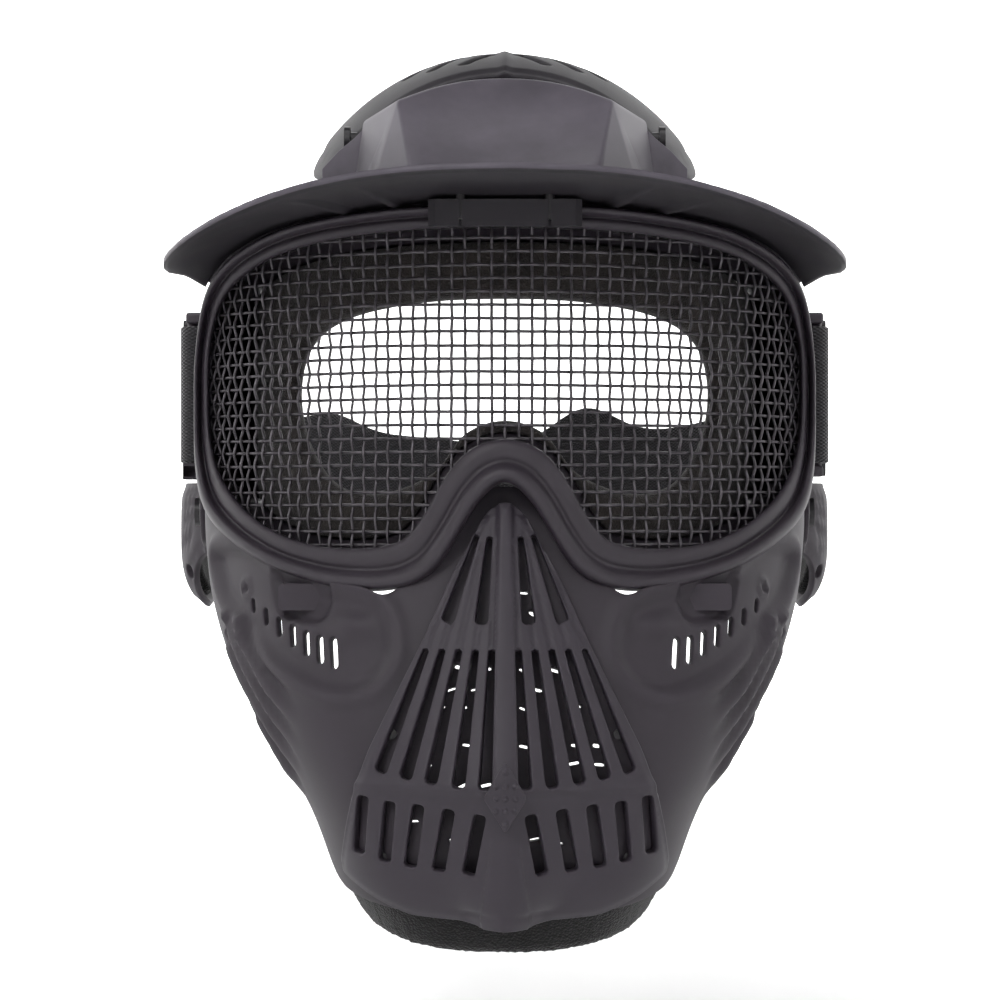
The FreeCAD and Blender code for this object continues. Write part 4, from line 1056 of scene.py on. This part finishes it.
dress(brow_hood(), VISOR, hides=["brow_hood"])
for side in (-1, 1):
    dress(hood_wing(side), VISOR)

# %% [markdown]
# ## Crown guard
# An egg-shaped plate over the top of the head, cut by rows of slanting slots that meet in a V.


# %% Crown guard
def egg(points):
    """(x, y) plan points put on the egg."""
    x, y = points[:, 0], points[:, 1]
    inside_root = np.maximum(1 - (x / 76) ** 2 - (y / 108) ** 2, 0.003)
    return np.stack([x, y, 38 + 80 * np.sqrt(inside_root)], axis=1)


def crown_slots():
    """Slots that run back and out from the spine on both sides."""
    holes = []
    for side in (-1, 1):
        for x, y, length in ((3, -28, 22), (3, -6, 42), (3, 14, 58), (14, 22, 46)):
            a = (side * (x + 0.8), y - 1.3)
            b = (side * (x + 0.52 * length - 0.8), y - 0.855 * length + 1.3)
            holes.append(slot_hole(a, b, 4.0, corner=0.3, count=70))
    return holes


def crown_outline():
    half = [(0, -60), (20, -60), (38, -60), (49, -59.5), (54, -57), (60, -46), (63, -30), (60, -8), (53, 18),
            (40, 34), (28, 43), (12, 44), (0, 44)]
    return rounded(both_halves(half), 500)


def crown_lift(points):
    """A raised spine and a step round the edge."""
    edge = distance_to(points, CROWN_EDGE, True)
    return 0.8 * np.exp(-(np.abs(points[:, 0]) / 1.6) ** 2) - 0.7 * smooth_step(4.5 - edge, 0, 1.5)


CROWN_EDGE = crown_outline()
crown = moulded("crown_guard_plate", CROWN_EDGE, crown_slots(), egg, 2.6, edge=0.6, grid=1.6, lift=crown_lift)
dress(crown, CROWN_AND_PAINTED_SHADE, "crown", hides=["crown_guard"])


def crown_cheek(side):
    """The front wall beside the hood with the arm that turns on the pin."""
    bm = bmesh.new()
    arc = []
    for x in np.linspace(46.6, 54.5, 9):
        arc.append((side * x, float(egg(np.array([[x, -58.0]]))[0, 2]) - 1.5))
    loop = [(side * 46.6, 77.0)] + arc + [(side * 54.5, 77.0)]
    front = [bm.verts.new(Vector((x, -58.6, z)) * MM) for x, z in loop]
    face = bm.faces.new(front)
    pushed = bmesh.ops.extrude_face_region(bm, geom=[face])
    bmesh.ops.translate(bm, vec=(0, 3.0 * MM, 0),
                        verts=[v for v in pushed["geom"] if isinstance(v, bmesh.types.BMVert)])
    plate = [(-58.5, 80), (-58.5, 82.5), (-50, 86.2), (-40, 90.6), (-28, 94.2), (-34, 86), (-47.5, 80),
             (-54, 77.5)]
    flat = [bm.verts.new(Vector((side * 46.2, y, z)) * MM) for y, z in plate]
    face = bm.faces.new(flat)
    pushed = bmesh.ops.extrude_face_region(bm, geom=[face])
    bmesh.ops.translate(bm, vec=(side * 2.4 * MM, 0, 0),
                        verts=[v for v in pushed["geom"] if isinstance(v, bmesh.types.BMVert)])
    bmesh.ops.recalc_face_normals(bm, faces=bm.faces)
    eased(bm, list(bm.edges), 0.35, 2)
    return finished("crown_cheek_" + side_name(side), bm, smooth=False)


for side in (-1, 1):
    dress(crown_cheek(side), CROWN_AND_PAINTED_SHADE, "crown")

# %% [markdown]
# ## Strap, sliders and ear guards


# %% Strap
STRAP_W, STRAP_T, STRAP_Z = 44.0, 1.8, 4.0
ANCHOR_X, ANCHOR_Y, BAR_R, BAR_GAP = 100.4, -33.0, 2.4, 0.3


def strap_path():
    """Plan line on the right: tail, round the bar, straight run, then half of the back."""
    r = BAR_R + BAR_GAP + STRAP_T / 2
    inner = ANCHOR_X + r - STRAP_T - BAR_GAP
    tail = [(inner, y) for y in (46, 32, 18, 4)] + [(inner, -14), (inner - 0.25, -18), (inner - 2.1, -24.5),
                                                   (ANCHOR_X - r + 0.35, -30)]
    arc = [(ANCHOR_X - r * math.cos(a), ANCHOR_Y - r * math.sin(a))
           for a in (0.25, 0.8, 1.35, 1.9, 2.45, 3.0)]
    run = [(ANCHOR_X + r, ANCHOR_Y + 4 + 9.5 * k) for k in range(9)]
    back = [(ANCHOR_X + r - 2.4, 59), (91, 74), (74, 88), (50, 98), (25, 102.4), (0, 104)]
    return rounded(tail + arc + run + back, 420, closed=False)


def strap_drop(y):
    """How far the slack band has sunk at each distance towards the back."""
    return 34.0 * smooth_step(y, 46, 104)


def band():
    """The webbing along its whole path, with a fold each side of the middle; returns it and its length."""
    right = strap_path()
    path = np.vstack([right, (right * [-1, 1])[-2::-1]])
    along = np.gradient(path, axis=0)
    along /= np.linalg.norm(along, axis=1)[:, None]
    out = np.stack([along[:, 1], -along[:, 0]], axis=1)
    far = np.concatenate([[0], np.cumsum(np.linalg.norm(np.diff(path, axis=0), axis=1))])
    loose = smooth_step(path[:, 1], 50, 90)
    half_w, half_t = STRAP_W / 2, STRAP_T / 2
    section = [(-1, 0.4), (-0.985, 1), (-0.8, 1), (-0.5, 1), (0, 1), (0.5, 1), (0.8, 1), (0.985, 1), (1, 0.4),
               (1, -0.4), (0.985, -1), (0.8, -1), (0.5, -1), (0, -1), (-0.5, -1), (-0.8, -1), (-0.985, -1),
               (-1, -0.4)]
    bm = bmesh.new()
    layer = bm.loops.layers.uv.new("UVMap")
    rows = []
    for k, (p, n) in enumerate(zip(path, out)):
        drop = float(strap_drop(p[1]))
        hump = 12 * math.exp(-((p[0] - 30) / 16) ** 2) + 6 * math.exp(-((p[0] + 62) / 12) ** 2)
        wave = loose[k] * (3.2 * math.sin(far[k] / 17.0) + 2 * hump)
        row = []
        for w, t in section:
            lean = loose[k] * 2.2 * w * math.sin(far[k] / 29.0 + 1)
            x = p[0] + n[0] * (half_t * t + lean)
            y = p[1] + n[1] * (half_t * t + lean)
            row.append(bm.verts.new(Vector((x, y, STRAP_Z + half_w * w - drop + wave * 0.5)) * MM))
        rows.append(row)
    count = len(section)
    for k, (a, b) in enumerate(zip(rows, rows[1:])):
        for j in range(count):
            i = (j + 1) % count
            face = bm.faces.new((a[j], a[i], b[i], b[j]))
            marks = [(far[k], section[j][0]), (far[k], section[i][0]), (far[k + 1], section[i][0]),
                     (far[k + 1], section[j][0])]
            for loop, (u, v) in zip(face.loops, marks):
                loop[layer].uv = (u * MM, v * half_w * MM)
    bm.faces.new(rows[0])
    bm.faces.new(rows[-1][::-1])
    bmesh.ops.recalc_face_normals(bm, faces=bm.faces)
    return finished("elastic_head_strap", bm), far[-1]


strap, strap_length = band()
print("strap", round(strap_length), "mm")
dress(strap, WEBBING, hides=["back_strap"])


# %% Strap bars on the frame
def strap_bar(side):
    """The loop on the frame's side: two lugs and a round bar that the webbing turns on."""
    bm = bmesh.new()

    def lug(z0, z1):
        made = bmesh.ops.create_cube(bm, size=1.0)["verts"]
        for v in made:
            v.co = Vector((side * (95.5 + 7.4 * (v.co.x + 0.5)), -33 + 8.6 * v.co.y,
                           z0 + (z1 - z0) * (v.co.z + 0.5))) * MM
    lug(27.0, 30.5)
    lug(-22.5, -19.0)
    eased(bm, list(bm.edges), 0.9, 3)
    rod = bmesh.ops.create_cone(bm, cap_ends=True, segments=24, radius1=2.3 * MM, radius2=2.3 * MM,
                                depth=50 * MM)
    bmesh.ops.translate(bm, vec=Vector((side * ANCHOR_X, ANCHOR_Y, 4)) * MM, verts=rod["verts"])
    bmesh.ops.recalc_face_normals(bm, faces=bm.faces)
    return finished("strap_bar_" + side_name(side), bm)


for side in (-1, 1):
    dress(strap_bar(side), FRAME)


# %% Ear guards
EAR_T = 2.4
EAR_EDGE = [(-20, -34.5), (-18, -27.5), (-11, -24), (0, -24), (14, -24), (30, -24), (48, -24), (60, -26),
            (66, -34), (67, -44), (62, -55), (50, -64), (34, -67), (20, -66.5), (10, -60), (2, -51),
            (-6, -46), (-15, -43)]


def ear_surface(side, lower=0.0):
    """From the side view (y towards the back, z) to the cup, which runs out flat into its flange."""
    def face(points):
        y, z = side * points[:, 0], points[:, 1]
        root = np.maximum(1 - np.abs((y - 30) / 42) ** 2.4 - np.abs((z + 40) / 34) ** 3.4, 0.012)
        cup = np.maximum(78 + 33 * np.sqrt(root), 94)
        ahead = smooth_step(-y, -12, 4)
        x = np.maximum(cup, 100.6 * ahead + (1 - ahead) * cup) - lower
        return np.stack([side * x, y, z], axis=1)
    return face


def round_hole(y, z, r, count=24):
    turns = np.linspace(0, 2 * math.pi, count, endpoint=False)
    return np.stack([y + r * np.cos(turns), z + r * np.sin(turns)], axis=1)


def ear_guard(side):
    """The cup with its rivet hole, oblique hole, nine vents and three grooves at its front."""
    name = side_name(side)
    edge = rounded(EAR_EDGE, 260)
    spots = [(-8, -34, 2.6), (8.9, -54.2, 2.5)]
    spots += [(24 + 9 * k, -32 - 8.5 * j, 2.1) for k in range(3) for j in range(3)]
    grooves = [rounded([(2.0 + 3.4 * k, -27), (3.4 + 3.4 * k, -36), (6.5 + 3.4 * k, -47)], 20, closed=False)
               for k in range(3)]

    def lift(points):
        out = -0.5 * smooth_step(4.0 - distance_to(points * [side, 1], edge, True), 0, 1.5)
        for groove in grooves:
            out = out - 0.8 * np.exp(-(distance_to(points * [side, 1], groove) / 0.6) ** 2)
        return out
    holes = [round_hole(*spot) * [side, 1] for spot in spots]
    obj = moulded("ear_guard_cup_" + name, edge * [side, 1], holes, ear_surface(side), EAR_T, edge=0.5,
                  grid=1.6, lift=lift)
    dress(obj, SHELL, "ear_" + name, hides=["ear_guard_" + name])


for side in (-1, 1):
    ear_guard(side)

# %% [markdown]
# ## Foam
# The face rests on a thick open-cell ring. It is drawn with rounded, slightly uneven sides, and a soft skirt
# closes the space between it and the goggle frame.


# %% Face foam and skirt
FOAM_HOLE = [(0, -6), (12, -10), (22, -22), (38, -28), (52, -25), (61, -12), (64, 4), (60, 18), (48, 26),
             (26, 30), (0, 31)]
FOAM_ROWS = [(0.03, 70.6), (0.0, 74.0), (0.0, 78.5), (0.04, 81.4), (0.2, 82.0), (0.5, 82.3), (0.8, 81.7),
             (0.95, 80.4), (1.0, 77.5), (1.0, 74.0), (0.93, 71.0), (0.8, 70.2), (0.5, 70.0), (0.2, 70.1)]


def face_foam():
    """A ring from the goggle's opening in to the face hole, in (share of the way, radius) rows."""
    outer = grown(opening, -2.4)
    hole_line = rounded(both_halves(FOAM_HOLE), 1400)
    inner = partner(outer, hole_line)
    rng = np.random.default_rng(3)
    rows = []
    for share, radius in FOAM_ROWS:
        flat = outer * (1 - share) + inner * share
        rough = rng.normal(0, 0.12, len(flat))
        radius = radius + np.convolve(np.concatenate([rough, rough[:2]]), [0.3, 0.4, 0.3], "same")[:len(flat)]
        x = np.clip(flat[:, 0], -radius * 0.995, radius * 0.995)
        y = LENS_Y - np.sqrt(radius ** 2 - x ** 2)
        rows.append(np.stack([x, np.minimum(y, -34), flat[:, 1]], axis=1))
    return ring_of_rows("face_foam_ring", rows)


def skirt():
    """A soft wall from the frame back to the outside of the foam, closing the gap between them."""
    rows = []
    lines = [(2.2, 96.0), (2.0, 93.0), (1.2, 89.0), (0.0, 85.0), (-1.6, 82.0), (-2.6, 79.0)]
    for grow, radius in lines + [(g + 1.2, r) for g, r in lines[::-1]]:
        flat = grown(opening, grow)
        x = np.clip(flat[:, 0], -radius * 0.999, radius * 0.999)
        y = LENS_Y - np.sqrt(np.maximum(radius ** 2 - x ** 2, 0))
        rows.append(np.stack([x, np.minimum(y, -31), flat[:, 1]], axis=1))
    return ring_of_rows("goggle_skirt_wall", rows)


foam = face_foam()
dress(foam, LINING, hides=["face_foam"])
dress(skirt(), FRAME, hides=["goggle_skirt"])


# %% Chin foam
# The section of the strip: depth behind the shell's front, height over the low edge.
CHIN_ROWS = [(3.0, 12.0), (2.9, 6.0), (3.0, 1.0), (3.8, -1.0), (6.5, -1.6), (9.5, -0.8), (10.8, 1.0),
             (10.9, 6.0), (10.8, 12.0)]


def chin_foam():
    """A strip inside the chin that shows as a soft black edge under the guard."""
    rng = np.random.default_rng(11)
    sweep = np.linspace(-1, 1, 181)
    rows = []
    for depth, z_off in CHIN_ROWS:
        line = []
        for s in sweep:
            x = 47.5 * math.sin(s * 1.45) / math.sin(1.45)
            low = -162.2 + 14.5 * abs(x / 49) ** 2.2
            z = low + z_off * (1 if z_off < 2 else (1 + 0.02 * abs(x)))
            u = s * SPREAD * 1.02
            p = shell_surface(np.array([[u * 0.98, max(z, -153.5)]]))[0]
            q = shell_surface(np.array([[u * 0.98 + 0.5, max(z, -153.5)]]))[0]
            t = (q - p) / np.linalg.norm(q - p)
            n = np.array([t[1], -t[0], 0])
            if n[1] > 0:
                n = -n
            p = p - n * depth
            taper = max(0.0, -153.5 - z) * 0.35
            line.append((p[0] * (1 - taper / 60) + rng.normal(0, 0.1), p[1] + taper + rng.normal(0, 0.1),
                         z + rng.normal(0, 0.12)))
        rows.append(line)
    return ring_of_rows("chin_foam_strip", rows, closed_loop=False)


chin = chin_foam()
dress(chin, FOAM, hides=["chin_pad"])


# %% Ear linings
PAD_T, PAD_DEPTH = 3.6, 3.0
PAD_EDGE = [(24, -28), (40, -26.5), (56, -28), (61, -38), (58, -52), (46, -60), (32, -63), (25, -56), (23, -42)]


def ear_lining(side):
    """A pad inside the rear of the cup."""
    name = side_name(side)
    edge = rounded(PAD_EDGE, 120) * [side, 1]
    obj = moulded("ear_lining_" + name, edge, [], ear_surface(side, lower=PAD_DEPTH), PAD_T, edge=1.2, grid=2.0)
    dress(obj, FOAM, "ear_" + name, hides=["ear_pad_" + name])


for side in (-1, 1):
    ear_lining(side)

# %% [markdown]
# ## The rest of the mask
# Small hardware keeps its CAD shape and gets its real material; the visor bridge gets the darker crown-guard
# black as painted shade.

# %% Materials on the carried-over pieces
# visor_bridge: painted shade, the darker crown-guard black standing in for the shadow under the brim.
CAD_LOOKS = {"lens_retainer": BUCKLE, "frame_tab_left": SHELL, "frame_tab_right": SHELL, "guard_screws": BUCKLE,
             "visor_bridge": CROWN_AND_PAINTED_SHADE, "visor_screws": BUCKLE, "crown_pin_left": BUCKLE, "crown_pin_right": BUCKLE,
             "ear_rivet_left": BUCKLE, "ear_rivet_right": BUCKLE, "strap_slider_left": BUCKLE,
             "strap_slider_right": BUCKLE}
for name, material in CAD_LOOKS.items():
    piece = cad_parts[name]
    piece.data.materials.clear()
    piece.data.materials.append(material)
print(len(CAD_LOOKS), "pieces keep their CAD shape")

# %% [markdown]
# ## Picture
# A white sweep, one broad soft light above and in front, and weaker ones from the side, the top and behind.


# %% Studio
def area_light(name, place, aim, size, power):
    """A round soft light at a place, turned to its aim, with its width in metres and its watts."""
    light = bpy.data.lights.new(name, "AREA")
    light.shape, light.size, light.energy = "DISK", size, power
    obj = bpy.data.objects.new(name, light)
    obj.location = place
    obj.rotation_euler = (Vector(aim) - Vector(place)).to_track_quat("-Z", "Y").to_euler()
    bpy.context.scene.collection.objects.link(obj)


def backdrop():
    """A round white cove: a floor that turns up into a wall, brighter behind the mask than in front of it."""
    bm = bmesh.new()
    line = [(0.0, -0.20), (0.8, -0.20), (1.9, -0.20)]
    line += [(1.9 + 0.9 * math.sin(a), 0.7 - 0.9 * math.cos(a)) for a in np.linspace(0.15, math.pi / 2, 12)]
    line += [(2.8, 3.2)]
    verts = [bm.verts.new((0, r, z)) for r, z in line]
    edges = [bm.edges.new(pair) for pair in zip(verts, verts[1:])]
    bmesh.ops.spin(bm, geom=verts + edges, cent=(0, 0, 0), axis=(0, 0, 1), angle=2 * math.pi, steps=48,
                   use_merge=True)
    bmesh.ops.remove_doubles(bm, verts=list(bm.verts), dist=1e-5)
    bmesh.ops.recalc_face_normals(bm, faces=list(bm.faces))
    obj = finished("studio_cove", bm)
    m = Maker("White paper cove")
    place = m.add("ShaderNodeTexCoord").outputs["Object"]
    fibres = m.add("ShaderNodeTexNoise", Vector=place, Scale=6.0)
    paper = m.ramp(fibres.outputs["Fac"], [(0.0, colour("#fbfbfb")), (1.0, colour("#ffffff"))])
    m.put(m.shader, "Base Color", paper)
    m.put(m.shader, "Roughness", 0.9)
    depth = m.add("ShaderNodeSeparateXYZ", Vector=place).outputs[1]
    glow = m.add("ShaderNodeMapRange", {"interpolation_type": "SMOOTHSTEP"}, Value=depth)
    for key, value in (("From Min", -0.1), ("From Max", 1.3), ("To Min", FRONT_GLOW), ("To Max", BACK_GLOW)):
        glow.inputs[key].default_value = value
    m.put(m.shader, "Emission Color", (1, 1, 1, 1))
    m.put(m.shader, "Emission Strength", glow)
    obj.data.materials.append(m.material)


FRONT_GLOW, BACK_GLOW, ROOM_LIGHT = 0.02, 1.05, 0.06
backdrop()
area_light("key", (-0.6, -1.3, 1.0), (0, -0.1, 0.0), 0.45, 12)
area_light("fill", (1.4, -1.3, 0.45), (0, -0.1, -0.03), 0.8, 1.6)
area_light("top", (0.1, -0.55, 1.5), (0, -0.08, 0), 0.8, 6)
area_light("rim", (-1.3, 0.5, 0.6), (0, 0, 0), 0.8, 2.5)
world = bpy.data.worlds.new("pale room")
world.use_nodes = True
world.node_tree.nodes["Background"].inputs[0].default_value = (1, 1, 1, 1)
world.node_tree.nodes["Background"].inputs[1].default_value = ROOM_LIGHT
bpy.context.scene.world = world

# The plain sRGB view keeps black plastic black and the cove white.
bpy.context.scene.view_settings.view_transform = "Standard"

# %% Camera
camera_data = bpy.data.cameras.new("camera")
camera_data.lens, camera_data.sensor_width = 108, 36
camera = bpy.data.objects.new("camera", camera_data)
camera.location = (-0.0015, -1.005, -0.030)
camera.rotation_euler = (math.pi / 2, 0, 0)
bpy.context.scene.collection.objects.link(camera)
bpy.context.scene.camera = camera
